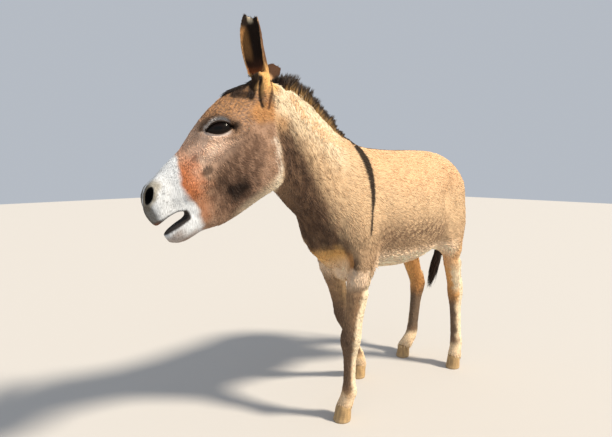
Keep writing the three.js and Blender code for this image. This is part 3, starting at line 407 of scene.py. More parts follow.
def bodyColour(own, body, broad):
    x, y, z = own.T
    onNeck = ramp(-0.36, -0.5, x) * body
    ahead = ramp(-0.05, -0.2, x)
    breast = ramp(-0.36, -0.42, x)
    middle = np.interp(x, neck["middleX"], neck["middleY"])
    leftSide = np.column_stack([x, middle - np.abs(y - middle), z])
    crest = awayFrom(own, neck["crest"])
    throat, band, earFoot = (awayFrom(leftSide, neck[key]) for key in ("throat", "band", "earFoot"))
    streaks = speckle(own @ streakTurn * (0.22, 1.0, 1.0), 0.016, 14)
    band = np.clip(bell(band, 0.068) * (0.95 + 0.8 * streaks), 0, 0.97) * ramp(1.25, 1.14, z)
    ripple = 0.55 * speckle(own @ streakTurn * (1.0, 1.0, 0.6), 0.014, 15)
    ripple = ripple + 0.45 * speckle(own, 0.009, 19)
    flank = bell(z - 0.765 - 0.04 * (broad - 0.5), 0.065) * ramp(-0.34, -0.24, x) * ramp(0.3, 0.16, x)
    under = ramp(0.715, 0.655, z + 0.035 * (ripple - 0.5)) * ramp(-0.36, -0.24, x) * ramp(0.42, 0.26, x)
    inner = ramp(0.11, 0.05, np.abs(y)) * ramp(0.84, 0.7, z) * ramp(0.36, 0.5, z)
    inner = inner * np.maximum(ramp(-0.4, -0.3, x), ramp(0.62, 0.55, z))
    greyLow = (0.4 + 0.2 * ahead) * ramp(0.86 + 0.05 * ahead, 0.7, z + 0.06 * (broad - 0.5))
    return over(
        tiled(paints["fawn"], len(own)),
        ("tan", ramp(0.9, 1.08, z + 0.05 * broad) * ramp(-0.36, -0.2, x)),
        ("grey", greyLow * (1 - onNeck)),
        # the neck: pale under the mane, grey-brown down its lower half, which is partly painted shade on
        # the neck's underside
        ("cream", 0.85 * onNeck * ramp(0.2, 0.06, crest)),
        ("grey", 0.9 * onNeck * ramp(0.12, 0.05, throat + 0.06 * (streaks - 0.5))),
        # the dark band: partly dark hair, partly painted shade behind the jaw and along the breast's
        # muscle edge
        (paints["cheek"] * 0.4, band * breast * body),
        ("orange", 0.6 * breast * ramp(0.74, 0.68, z) * ramp(0.56, 0.6, z) * (np.abs(y) < 0.13)),
        ("grey", 0.35 * onNeck * ramp(0.4, 0.75, streaks) * ramp(0.05, 0.16, crest)),
        ("orange", 0.5 * bell(earFoot, 0.028)),
        # the flank is rippled; belly, breast and the insides of the thighs are pale
        (paints["grey"] * 0.8, 0.95 * flank * ramp(0.28, 0.66, ripple)),
        ("belly", under),
        (mix(paints["belly"][None], paints["amber"], ramp(-0.2, -0.36, x)), 0.8 * inner),
        ("amber", 0.55 * ramp(0.3, 0.4, x) * ramp(0.74, 0.62, z)),
    )


# The pale backs and outer sides of the legs and their dark fronts and insides are partly the hair's colour
# and partly painted light and shade.
def legColour(own, colour, fine):  # pale behind, dark down the shins, white pasterns
    x, y, z = own.T
    fleck = fine - 0.5
    distance, forward, outward, hind = legPlace(own)
    onLeg = ramp(0.66, 0.52, z)
    creamTan = mix(paints["cream"], paints["tan"], 0.5)
    streaky = speckle(own * (1.0, 1.0, 0.12), 0.008, 18)
    forearm = ramp(0.62, 0.54, z) * ramp(0.3, 0.4, z) * ~hind * ramp(-0.2, 0.6, forward)
    facing = np.where(hind, 0.55 * forward - 0.8 * outward, 0.85 * forward - 0.5 * outward)
    # dark down the front and inner side of the shins: partly dark hair, partly painted shade
    shin = ramp(0.5, 0.36, z) * ramp(0.1, 0.15, z) * ramp(-0.4, 0.35, facing + 0.5 * fleck)
    frontEdge = hind * ramp(0.1, 0.7, forward) * ramp(0.66, 0.58, z) * ramp(0.32, 0.4, z)
    # the inner sides of the hind legs: orange hair, darkened as painted shade that carries warm bounced
    # light
    inside = ramp(-0.1, -0.7, outward) * hind * ramp(0.62, 0.55, z) * ramp(0.3, 0.42, z)
    # pale on the rear and outer sides: partly pale hair, partly painted light
    pale = ramp(0.15, 0.65, 0.75 * outward - 0.6 * forward + 0.25 * fleck)
    pale = np.maximum(pale, hind * ramp(0.38, 0.44, z) * ramp(0.05, 0.5, outward + 0.3 * fleck))
    chestHair = mix(paints["belly"], paints["amber"], 0.3)[None]
    chest = ramp(-0.3, -0.38, x) * ramp(0.55, 0.6, z) * ramp(0.115, 0.085, np.abs(y))
    cap = ramp(0.65, 0.63, z + 0.02 * fleck) * ramp(0.55, 0.6, z) * ~hind * ramp(-0.3, 0.3, forward)
    return over(
        colour,
        (mix(paints["leg"][None], paints["amber"], 0.85 * hind), onLeg * ramp(0.6, 0.48, z)),
        # cream behind, on the side the sun falls on: partly pale hair, partly painted light
        ("cream", 0.9 * onLeg * ramp(0.05, -0.6, forward - 0.5 * outward * (z > 0.3))),
        (mix(paints["cream"], paints["amber"], 0.6), 0.6 * onLeg * ~hind * ramp(-0.2, -0.8, outward)),
        (paints["grey"] * 0.8, forearm * (0.55 + 0.3 * streaky)),
        ("cream", 0.75 * onLeg * hind * ramp(0.4, 0.32, z)),
        ("shin", 0.92 * shin * onLeg),
        (paints["orange"] * 1.15, 0.6 * frontEdge),
        (paints["orange"] * 0.75, 0.85 * inside),
        ("cream", 0.85 * pale * onLeg * ramp(0.62, 0.5, z)),
        (creamTan, 0.85 * ramp(0.135, 0.085, z + 0.03 * fleck)),
        ("grey", 0.5 * bell(z - 0.145, 0.014) * ramp(-0.2, 0.4, forward)),
        # the chest between the forelegs, and the pale top of the forearm
        (mix(chestHair, paints["amber"], ramp(0.63, 0.69, z + 0.3 * y)),
         0.8 * chest * ramp(0.735, 0.68, z + 0.3 * y + 0.02 * fleck)),
        (mix(paints["cream"], paints["rose"], 0.5), 0.65 * cap * ramp(0.14, 0.1, distance)),
    )


def crossColour(own, normals, colour, fine, middleLine):  # down the back, and over the shoulders
    x, y, z = own.T
    onBack = ((x > -0.36) & (z > 0.98)) | ((x > 0.45) & (z > 0.88)) | ((x > 0.54) & (z > 0.66))
    upward = np.where(
        x > 0.42, ramp(-0.1, 0.3, normals[:, 2] + normals[:, 0]), ramp(0.35, 0.6, normals[:, 2])
    )
    dorsal = ramp(1.3, 0.75, np.abs(y - middleLine) / stripe["backHalfWidth"]) * onBack * upward
    colour = mix(colour, paints["dark"], 0.85 * dorsal)
    for points in (own, onSide(own, -1.0)):
        distance, share = nearPath(points, stripe["path"])
        width = np.interp(share, stripe["shares"], stripe["halfWidths"])
        edge = distance + 0.003 * (fine - 0.5)
        colour = mix(colour, paints["dark"], 0.97 * ramp(width + 0.003, width - 0.002, edge))
    return colour


def faceColour(own, fine, footWarmAndLit):
    along, across, above = toHead(own).T
    out = np.abs(across)
    fleck = fine - 0.5
    flat = np.column_stack([along, above, along * 0])
    leftFace = np.column_stack([along, -out, above])
    jowl, jaw = (awayFrom(flat, face[key]) for key in ("jowl", "jaw"))
    lowerLip, upperLip = (awayFrom(flat, mouth[key]) for key in ("lower", "upper"))
    front, tip = (awayFrom(leftFace * (1.0, -1.0, 1.0), face[key]) for key in ("front", "tip"))
    strands = speckle(own @ streakTurn * (0.2, 1.0, 1.0), 0.009, 16)
    mottle = 0.5 * speckle(own, 0.01, 12) + 0.5 * speckle(own, 0.006, 22)
    forehead = ramp(-0.06, 0.0, above) * ramp(0.28, 0.18, along)
    cheek = mix(paints["cheek"][None] * 0.75, paints["face"], 0.5 * ramp(0.45, 0.8, strands))
    behind = np.interp(above, muzzle["heights"], muzzle["edge"]) + 0.012 * fleck - along
    white = ramp(-muzzle["soft"], muzzle["soft"], -behind)
    rusty = ramp(0.1, 0.04, behind + 0.025 * fleck) * ramp(-0.12, -0.05, above) * ramp(0.035, -0.01, above)
    flecks = ramp(0.78, 0.9, speckle(own, 0.0055, 6)) * white
    nostrils = [nostrilPlace(own, side) for side in sides.values()]
    lowSide = ramp(0.0, 0.02, poll[2] - own[:, 2] - 0.35)
    inMouth = ramp(0.455, 0.465, along)
    colour = over(
        tiled(paints["face"], len(own)),
        ("brow", 0.6 * ramp(0.3, 0.7, strands)),
        (cheek, 0.92 * ramp(0.087, 0.055, jowl + 0.016 * fleck)),
        ("brow", 0.8 * ramp(0.0, 0.045, above) * ramp(0.33, 0.22, along)),
        ("rose", bell(along - 0.275, 0.08) * bell(above + 0.012, 0.036) * (out > 0.03)),
        ("orange", 0.48 * forehead * ramp(0.42, 0.68, mottle)),
        ("soot", 0.36 * forehead * ramp(0.54, 0.3, mottle)),
        *(("amber", warm) for warm in footWarmAndLit),
        *(
            (tint, depth * ramp(reach * 1.5, reach * 0.6, awayFrom(leftFace, path)))
            for path, reach, tint, depth in face["marks"]
        ),
        (paints["rose"] * 0.8, 0.6 * ramp(0.07, 0.01, behind) * ramp(-0.01, 0.03, above)),
        ("rust", 0.9 * rusty),
        ("rust", 0.35 * bell(behind - 0.02, 0.03) * ramp(-0.19, -0.15, above)),
        ("rose", 0.35 * bell(behind - 0.07, 0.04) * ramp(-0.1, -0.02, above)),
    )
    for spot, size, depth in face["spots"]:
        reach = np.hypot((along - spot[0]) / size[0], (above - spot[1]) / size[1])
        colour = mix(colour, paints["dark"], 0.9 * depth * ramp(1.5, 0.5, reach + 0.4 * fleck))
    colour = over(
        colour,
        # a pale strip along the rear of the jaw: partly pale hair, partly painted light where the sun
        # catches the jaw
        (mix(paints["cream"], paints["white"], 0.35), 0.74 * ramp(0.033, 0.006, jaw + 0.024 * strands)),
        ("cream", 0.75 * ramp(-0.195, -0.24, above) * ramp(0.4, 0.3, along)),
        ("white", white),
        ("soot", 0.45 * flecks * ramp(0.02, 0.07, -behind)),  # fine dark flecks on the white
    )
    # around each nostril: olive skin, and on its lower side a cream rim that is a painted highlight
    for reach, _, nearby in nostrils:
        colour = mix(colour, paints["olive"], 0.8 * ramp(2.5, 1.4, reach + 0.3 * fleck) * nearby)
        colour = mix(colour, paints["cream"], 0.55 * bell(reach - 1.22, 0.16) * nearby * lowSide)
    lipEdge = ramp(-0.066, -0.076, above) * ramp(-0.1, -0.09, above) * ramp(0.535, 0.555, along)
    colour = over(
        colour,
        ("snout", 0.85 * ramp(0.036, 0.022, front + 0.01 * fleck)),
        ("snout", 0.85 * ramp(0.037, 0.02, tip + 0.012 * fleck)),
        ("rust", 0.5 * lipEdge),
        # painted shade: the inside of each nostril, painted nearly black
        *((paints["dark"] * 0.2, ramp(1.14, 1.02, reach) * nearby) for reach, _, nearby in nostrils),
        ("grey", 0.6 * ramp(-0.12, -0.14, above) * ramp(0.49, 0.535, along)),
        ("dark", 0.96 * ramp(0.0125, 0.007, lowerLip) * inMouth),
        ("soot", 0.6 * ramp(0.008, 0.004, upperLip) * inMouth),
        ("grey", 0.6 * ramp(-0.155, -0.175, above) * ramp(0.46, 0.49, along)),
    )
    for eye in eyes.values():
        colour = eyeRimColour(own, colour, eye)
    return colour


def eyeRimColour(own, colour, eye):
    local, inside, isUpper = lidCurves(eye, own)
    x, y, _ = local.T
    near = (np.linalg.norm(local, axis=1) < 0.1) & (local[:, 2] > -0.06)
    ring = bell(-inside - 0.0102, 0.0052) * ramp(-0.04, -0.02, x) * ramp(0.055, 0.042, x)
    under = bell(-inside - 0.018, 0.01) * ~isUpper * ramp(-0.05, 0.0, x)
    corner = ramp(0.0, 0.012, -x - 0.034) * bell(y - 0.004, 0.015) * ramp(-0.075, -0.06, x)
    return over(
        colour,
        (paints["brow"] * 0.8, 0.8 * ramp(0.052, 0.034, np.hypot(x / 1.5, y)) * near),
        ("soot", 0.5 * bell(-inside - 0.02, 0.006) * isUpper * ramp(0.0, 0.03, x) * near),
        (paints["white"] * 0.95, 0.62 * ring * near),
        ("rose", 0.9 * under * near),
        ("soot", 0.8 * corner * near),
        ("dark", ramp(-0.0066, -0.0042, inside) * near),
    )


def earColour(own, normals, colour, name, broad):  # dark edges and tip, pale hair in a dark cup
    ear = ears[name]
    t, radial, offset = earPlace(own, ear)
    outward = offset @ ear["across"]
    dusk = {"left": 0.8, "right": 0.45}[name]
    tipped = ramp(dusk, dusk + 0.13, t)
    rim = ramp(0.006, 0.02, offset @ ear["open"]) * ramp(0.15, 0.5, t)
    inner = ramp(-0.012, -0.028, outward) * ramp(0.25, 0.5, t) * ramp(0.98, 0.9, t)
    inner = inner * ramp(0.86, 0.76, t) * ramp(0.3, 0.42, t)
    hollow = over(
        tiled(paints["earEdge"], len(own)),
        ("dark", ramp(0.25, 0.45, t)),
        ("rust", 0.6 * ramp(0.3, 0.18, t)),
        (paints["orange"] * 0.7, 0.6 * inner),
        ("orange", 0.85 * ramp(0.0, 0.007, outward + 0.024 - 0.17 * (t - 0.08))),
        ("cream", 0.9 * ramp(0.84, 0.92, t) * ramp(0.012, 0.003, np.abs(outward + 0.003))),
    )
    shade = over(
        tiled(paints["ear"], len(own)),
        ("fawn", 0.5 * broad),
        # orange hair at the foot of the ear, painted lighter as painted light where the sun falls there
        (paints["amber"] * 1.1, 0.85 * ramp(0.34, 0.12, t)),
        (paints["earEdge"] * 0.7, np.maximum(0.95 * tipped, 0.85 * rim)),
        ("earEdge", 0.9 * bell(outward - 0.031, 0.0035) * ramp(0.1, 0.3, t)),
        (hollow, ramp(-0.25, 0.25, -(normals * radial).sum(1))),
    )
    return mix(colour, shade, earShare(own, ear, 0.02, 0.16))


def coatColour(own, normals):  # colour of the hair at each place, the same for skin and tufts
    x, y, z = own.T
    along, across, above = toHead(own).T
    broad, fine = speckle(own, 0.16, 3), speckle(own, 0.035, 4)
    onHead = headMask(own)
    # the foot of each ear: orange hair, painted lighter as painted sunlight
    footWarmAndLit = []
    for ear in ears.values():
        foot = np.linalg.norm(own - ear["base"] - ear["axis"] * 0.01 + ear["open"] * 0.012, axis=1)
        footWarmAndLit.append(0.85 * ramp(0.07, 0.035, foot))
    middleLine = np.interp(z, (0.67, 0.78, 0.86), (0.034, 0.018, 0.0))
    colour = bodyColour(own, 1 - onHead, broad)
    colour = legColour(own, colour, fine)
    colour = crossColour(own, normals, colour, fine, middleLine)
    colour = over(colour, *(("amber", warm) for warm in footWarmAndLit))
    colour = mix(colour, faceColour(own, fine, footWarmAndLit), onHead)
    for name in ears:
        colour = earColour(own, normals, colour, name, broad)
    flank = np.column_stack([along, -0.3 * np.abs(across), above])
    beside = (across < 0.0) & (np.abs(across) > 0.035)
    # painted shade in the creases at the foot of the ears
    for path, reach, tint, depth in face["earMarks"]:
        line = awayFrom(flank, np.array(path) * (1.0, 0.3, 1.0))
        colour = mix(colour, paints[tint], depth * ramp(reach * 1.4, reach * 0.6, line) * beside)
    # the dock's underside and its end
    tail = (x > 0.54) & (z < 0.98) & (z > 0.56) & (np.abs(y - middleLine) < 0.034)
    colour = mix(colour, paints["soot"], 0.8 * tail * ramp(0.8, 0.7, z))
    return np.clip(colour, *paintRange)

# the skin
skin = {
    "grow": 0.0009,
    "bodyVoxel": 0.0072,
    "headVoxel": 0.0043,
    "cut": (-0.66, -0.05, 1.1),  # where the head's fine mesh meets the body's
    "cutWay": (-0.86, -0.04, 0.5),
    "cutGap": 0.003,
    "rounds": 26,
    "shade": 0.86,
}
hairNodes = ("mane", "forelock", "tail_tuft")
fleshNodes = sorted(
    name
    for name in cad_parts
    if name not in hairNodes and "hoof" not in name and not name.startswith("eye")
)


def newPiece(name, bm):
    mesh = bpy.data.meshes.new(name)
    bm.to_mesh(mesh)
    bm.free()
    return inScene(name, mesh)


def readOut(items, name, width, kind=np.float32):
    values = np.zeros(len(items) * width, kind)
    items.foreach_get(name, values)
    return values.reshape(-1, width)


def places(mesh):
    return readOut(mesh.vertices, "co", 3).astype(float)


def setPlaces(mesh, co):
    mesh.vertices.foreach_set("co", np.asarray(co, np.float32).ravel())
    mesh.update()


def vertexNormals(mesh):
    return readOut(mesh.vertex_normals, "vector", 3).astype(float)


def edgesOf(mesh):
    return readOut(mesh.edges, "vertices", 2, np.int32)


def smoothed(mesh):
    mesh.polygons.foreach_set("use_smooth", np.ones(len(mesh.polygons), bool))


def evened(values, ends, rounds, share=0.5):  # moved towards the neighbours' mean, again and again
    count = len(values)
    degree = np.maximum(np.bincount(ends.ravel(), minlength=count), 1)
    values = values.copy()
    for _ in range(rounds):
        for k in range(values.shape[1]):
            column = values[:, k]
            total = np.bincount(ends[:, 0], column[ends[:, 1]], count)
            total += np.bincount(ends[:, 1], column[ends[:, 0]], count)
            values[:, k] = column + share * (total / degree - column)
    return values


def smoothForm(co, ends, rounds):  # smooths away the facets and keeps the wide forms' size
    soft = evened(co, ends, rounds)
    for _ in range(2):
        soft = soft + evened(co - soft, ends, rounds)
    return soft


def axesMatrix(axes, sizes):
    return Matrix(np.array(axes).T.tolist()).to_4x4() @ Matrix.Diagonal((*sizes, 1.0))


def ellipsoid(bm, centre, sizes, axes=np.eye(3)):
    at = Matrix.Translation(Vector(np.array(centre) + shift))
    bmesh.ops.create_icosphere(bm, subdivisions=3, radius=1.0, matrix=at @ axesMatrix(axes, sizes))


def sliced(bm, at, way, **cleared):
    whole = bm.verts[:] + bm.edges[:] + bm.faces[:]
    bmesh.ops.bisect_plane(bm, geom=whole, plane_co=at, plane_no=way, **cleared)


def nodeShape(*names):
    bm = bmesh.new()
    for name in names:
        bm.from_mesh(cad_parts[name].data)
    bmesh.ops.remove_doubles(bm, verts=bm.verts, dist=1e-5)
    return bm


def wholeFlesh():
    bm = nodeShape(*fleshNodes, "eye_left", "eye_right")
    bm.normal_update()
    for v in bm.verts:
        v.co += v.normal * skin["grow"]
    for eye in eyes.values():
        ellipsoid(bm, eye["lids"] - eye["axes"][2] * 0.002, (0.038, 0.021, 0.0055), eye["axes"])
    ellipsoid(bm, (-0.335, -0.03, 0.605), (0.06, 0.07, 0.036))
    for line in legs.values():
        ellipsoid(bm, line[-1] + (-0.004, 0.0, -0.008), (0.03, 0.027, 0.016))
    return newPiece("flesh", bm)


def remeshed(piece, voxel):
    modifier = piece.modifiers.new("voxels", "REMESH")
    modifier.mode = "VOXEL"
    modifier.voxel_size = voxel
    evaluated = piece.evaluated_get(bpy.context.evaluated_depsgraph_get())
    mesh = bpy.data.meshes.new_from_object(evaluated)
    piece.modifiers.remove(modifier)
    return mesh


def joinedSkin():
    flesh = wholeFlesh()
    way = Vector(unit(skin["cutWay"]))
    at = Vector(np.array(skin["cut"]) + shift)
    bm, rear = bmesh.new(), bmesh.new()
    bm.from_mesh(remeshed(flesh, skin["headVoxel"]))
    sliced(bm, at + way * skin["cutGap"], way, clear_inner=True)
    rear.from_mesh(remeshed(flesh, skin["bodyVoxel"]))
    sliced(rear, at - way * skin["cutGap"], way, clear_outer=True)
    rearMesh = bpy.data.meshes.new("rear")
    rear.to_mesh(rearMesh)
    rear.free()
    bm.from_mesh(rearMesh)
    bmesh.ops.bridge_loops(bm, edges=[edge for edge in bm.edges if edge.is_boundary])
    bmesh.ops.recalc_face_normals(bm, faces=bm.faces)
    bpy.data.objects.remove(flesh)
    return bm


def subdivideNear(bm, centres):  # splits the faces near these places: (place, reach)
    spots = [(Vector(np.array(place) + shift), reach) for place, reach in centres]
    edges = [
        edge
        for edge in bm.edges
        if any((edge.verts[0].co - spot).length < reach for spot, reach in spots)
    ]
    bmesh.ops.subdivide_edges(bm, edges=edges, cuts=1, use_grid_fill=True)


def sculptLids(own):
    for eye in eyes.values():
        local, inside, isUpper = lidCurves(eye, own)
        near = (np.linalg.norm(local, axis=1) < 0.075) & (local[:, 2] > -0.045)
        x, y, z = local[near].T
        s, up = inside[near], isUpper[near]
        dome = ballDome(x, y, 0.02)
        arch = ramp(0.045, 0.02, np.abs(x))
        target = z + (dome - z) * ramp(-0.016, -0.004, s)
        # the upper lid's fold, the lower one's, and the brow above
        target += np.where(up, -0.0022 * bell(s + 0.011, 0.0024), -0.0012 * bell(s + 0.0085, 0.002)) * arch
        target += np.where(up, 0.0018 * bell(s + 0.006, 0.003), 0.001 * bell(s + 0.0045, 0.0025)) * arch
        target += np.where(up, 0.004 * bell(s + 0.022, 0.007), 0.0) * arch
        target += ramp(-0.0004, 0.0022, s) * (dome - lids["thick"] - lids["sunk"] - target)
        own[near] += (target - z)[:, None] * eye["axes"][2]
    return own


def sculptNostrils(own):
    for side in sides.values():
        reach, depth, nearby = nostrilPlace(own, side)
        rim = 0.0035 * bell(reach - 1.35, 0.3) * (depth > -0.02)
        hole = 0.012 * ramp(1.0, 0.6, reach)
        own = own + nostrilAxes(side)[2] * ((rim - hole) * nearby)[:, None]
    return own


folds = {  # muscle edges and folds: path, width, depth
    "body": (
        (((-0.55, -0.03, 0.79), (-0.516, -0.053, 0.75), (-0.448, -0.065, 0.7), (-0.415, -0.09, 0.66)),
         0.014, 0.007),
        (((-0.325, -0.175, 0.83), (-0.276, -0.17, 0.755), (-0.3, -0.178, 0.68), (-0.35, -0.17, 0.62)),
         0.016, 0.009),
        (((-0.42, -0.125, 0.93), (-0.47, -0.115, 0.84), (-0.47, -0.12, 0.76)), 0.018, 0.006),
        (((-0.3, -0.13, 1.03), (-0.27, -0.16, 0.95), (-0.25, -0.17, 0.86)), 0.03, 0.004),
        (((0.23, -0.2, 0.82), (0.285, -0.185, 0.74), (0.3, -0.16, 0.66)), 0.022, 0.008),
        (((0.39, -0.15, 0.93), (0.41, -0.16, 0.82), (0.42, -0.15, 0.7)), 0.02, 0.006),
        (((-0.5, -0.09, 0.75), (-0.42, -0.1, 0.66), (-0.39, -0.09, 0.6)), 0.014, 0.006),
    ),
    "neck": (
        (((-0.8, -0.165, 1.13), (-0.72, -0.14, 1.05), (-0.62, -0.115, 0.96), (-0.53, -0.1, 0.88)),
         0.016, 0.006),
        (((-0.76, -0.16, 1.2), (-0.64, -0.135, 1.14), (-0.52, -0.12, 1.07), (-0.43, -0.115, 1.0)),
         0.03, 0.004),
        (((-0.83, -0.165, 1.2), (-0.8, -0.16, 1.1), (-0.765, -0.14, 1.02)), 0.011, 0.006),
        (((-0.8, -0.165, 1.16), (-0.75, -0.15, 1.06), (-0.72, -0.11, 0.99)), 0.008, 0.003),
    ),
    "face": (  # in the head's frame, on both of its sides
        (((0.02, 0.079, 0.056), (0.049, 0.083, 0.027), (0.066, 0.08, 0.003), (0.073, 0.078, -0.015)),
         0.006, 0.009),
        (((-0.01, 0.062, 0.025), (0.009, 0.08, 0.006), (0.04, 0.078, -0.017), (0.06, 0.076, -0.032)),
         0.007, 0.007),
        (((0.03, 0.06, 0.06), (0.055, 0.065, 0.05), (0.073, 0.076, 0.035)), 0.009, 0.008),
        (((0.215, 0.09, -0.05), (0.29, 0.08, -0.05), (0.37, 0.07, -0.055)), 0.012, 0.0045),
        (((0.33, 0.07, -0.03), (0.38, 0.065, -0.075), (0.4, 0.06, -0.13)), 0.013, 0.003),
        (((0.44, 0.05, -0.06), (0.462, 0.05, -0.1), (0.455, 0.045, -0.15)), 0.008, 0.004),
        (((0.27, 0.07, -0.12), (0.3, 0.065, -0.18), (0.3, 0.055, -0.22)), 0.014, 0.003),
        (((0.5, 0.05, -0.03), (0.48, 0.055, -0.005), (0.45, 0.05, 0.01)), 0.007, 0.003),
        (((0.245, 0.085, 0.002), (0.27, 0.08, -0.01), (0.3, 0.075, -0.015)), 0.005, 0.003),
        (((0.1, 0.08, -0.03), (0.13, 0.085, -0.1), (0.17, 0.08, -0.17)), 0.016, 0.003),
    ),
    # tendons and muscle edges of the legs: leg, from and to height, forward, outward, width, depth
    "legs": (
        ("fore", 0.33, 0.14, -0.35, 0.95, 0.005, 0.0035),
        ("fore", 0.56, 0.42, 0.25, 0.95, 0.012, 0.004),
        ("hind", 0.36, 0.15, -0.25, 0.95, 0.005, 0.004),
        ("hind", 0.56, 0.45, -0.35, 0.9, 0.012, 0.006),
    ),
}


def allGrooves():
    # the neck leans to the left, so its far side's folds are mirrored in its own middle
    for path, width, depth in folds["body"]:
        for side in (1.0, -1.0):
            yield onSide(path, side), width, depth
    for path, width, depth in folds["neck"]:
        yield path, width, depth
        yield [(x, -y - 0.21 * (-x - 0.3), z) for x, y, z in path], width, depth
    for path, width, depth in folds["face"]:
        for side in sides.values():
            yield fromHead(onSide(path, side)), width, depth
    for kind, top, bottom, forward, outward, width, depth in folds["legs"]:
        for name, line in legs.items():
            if name.startswith(kind):
                run = []
                for z in np.linspace(top, bottom, 4):
                    (x, y), wide = legAt(line, z), 0.036 if z > 0.4 else 0.026
                    run.append((x - forward * wide, y + np.sign(line[0, 1]) * outward * wide, z))
                yield run, width, depth


def sculptFolds(own, normals):
    for path, width, depth in allGrooves():
        distance, share = nearPath(own, path)
        fade = np.sin(math.pi * np.clip(share, 0.02, 0.98)) ** 0.5
        own = own - normals * (depth * bell(distance, width) * fade)[:, None]
    return own


# small moves of the skin: a place in the head's frame, its reach, and the way it goes
pulls = (
    ((0.558, 0.0, -0.08), 0.034, (0.003, 0.0, -0.0095)),
    ((0.556, 0.0, -0.112), 0.026, (0.005, 0.0, 0.001)),
    ((0.3, 0.0, 0.07), 0.09, (0.0, 0.0, 0.004)),
    ((0.42, 0.0, 0.06), 0.07, (0.0, 0.0, 0.003)),
)


def pullForm(own):
    head = toHead(own)
    for place, reach, way in pulls:
        near = bell(np.linalg.norm((head - place) * (1.0, 0.6, 1.0), axis=1), reach)
        own = own + near[:, None] * (np.array(way) @ headAxes)
    ear = ears["left"]
    t, _, offset = earPlace(own, ear)
    onEar = np.linalg.norm(offset, axis=1) < 0.09
    trim = 0.013 * ramp(-0.004, 0.01, offset @ ear["across"]) * ramp(0.86, 1.0, t) * onEar
    lean = 0.006 * bell(t - 0.5, 0.28) * onEar
    return own - ear["axis"] * trim[:, None] - ear["across"] * lean[:, None]


def coatDepth(own):  # how far the skin lies under the tips of the coat
    x, y, z = own.T
    along, _, above = toHead(own).T
    head = headMask(own)
    depth = mix(np.full(len(own), 0.006), 0.0035, head)
    depth = mix(depth, 0.001, head * ramp(0.02, 0.05, above))
    depth = depth + 0.005 * ramp(0.38, 0.48, x) * bell(z - 0.87, 0.12) * (y < 0)
    depth = mix(depth, 0.002, head * ramp(0.36, 0.44, along))
    depth = mix(depth, 0.0035, ramp(0.6, 0.45, z))
    depth = mix(depth, 0.0015, ramp(0.13, 0.08, z))
    for ear in ears.values():
        depth = mix(depth, 0.0008, earShare(own, ear, 0.05, 0.15, 0.09))
    for eye in eyes.values():
        depth = mix(depth, 0.0, ramp(-0.02, -0.006, lidCurves(eye, own)[1]) * head)
    return depth


def makeSkin():
    bm = joinedSkin()
    mesh = bpy.data.meshes.new("skin")
    bm.to_mesh(mesh)
    bm.free()
    co, ends = places(mesh), edgesOf(mesh)
    light, full = (smoothForm(co, ends, rounds) for rounds in (4, skin["rounds"]))
    calm = np.ones(len(co))  # the thin ears take little of the smoothing
    for ear in ears.values():
        calm = np.minimum(calm, 1 - earShare(co - shift, ear, 0.1, 0.2, 0.09))
    setPlaces(mesh, light + (full - light) * calm[:, None])
    bm = bmesh.new()
    bm.from_mesh(mesh)
    lidPlaces = [eye["lids"] for eye in eyes.values()]
    nostrils = [fromHead(onSide(nostril["place"], side)) for side in sides.values()]
    subdivideNear(bm, [(place, 0.056) for place in lidPlaces] + [(place, 0.04) for place in nostrils])
    subdivideNear(bm, [(place, 0.044) for place in lidPlaces])
    bm.to_mesh(mesh)
    bm.free()
    own = places(mesh) - shift
    fresh = np.zeros(len(own))
    for place in lidPlaces + nostrils:
        fresh = np.maximum(fresh, ramp(0.06, 0.045, np.linalg.norm(own - place, axis=1)))
    own = own + (evened(own, edgesOf(mesh), 5) - own) * fresh[:, None]
    setPlaces(mesh, own + shift)
    own = sculptNostrils(pullForm(own))
    setPlaces(mesh, own + shift)
    own = sculptFolds(own, vertexNormals(mesh))
    setPlaces(mesh, own + shift)
    own = own - vertexNormals(mesh) * coatDepth(own)[:, None]
    setPlaces(mesh, sculptLids(own) + shift)
    smoothed(mesh)
    piece = inScene("skin", mesh)
    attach(piece, "root")
    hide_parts(*fleshNodes)
    print("skin:", len(mesh.vertices), "vertices,", len(mesh.loop_triangles), "triangles")
    return piece


skinPiece = makeSkin()

# finishes
def addNode(tree, kind, sockets, **settings):  # a shader node, its sockets set or linked
    made = tree.nodes.new("ShaderNode" + kind)
    for name, value in settings.items():
        setattr(made, name, value)
    for socket, value in sockets.items():
        if isinstance(value, bpy.types.NodeSocket):
            tree.links.new(value, made.inputs[socket])
        else:
            made.inputs[socket].default_value = value
    return made


streakScales = ((60.0, 420.0, 420.0), (420.0, 420.0, 60.0))  # along the body, and down it


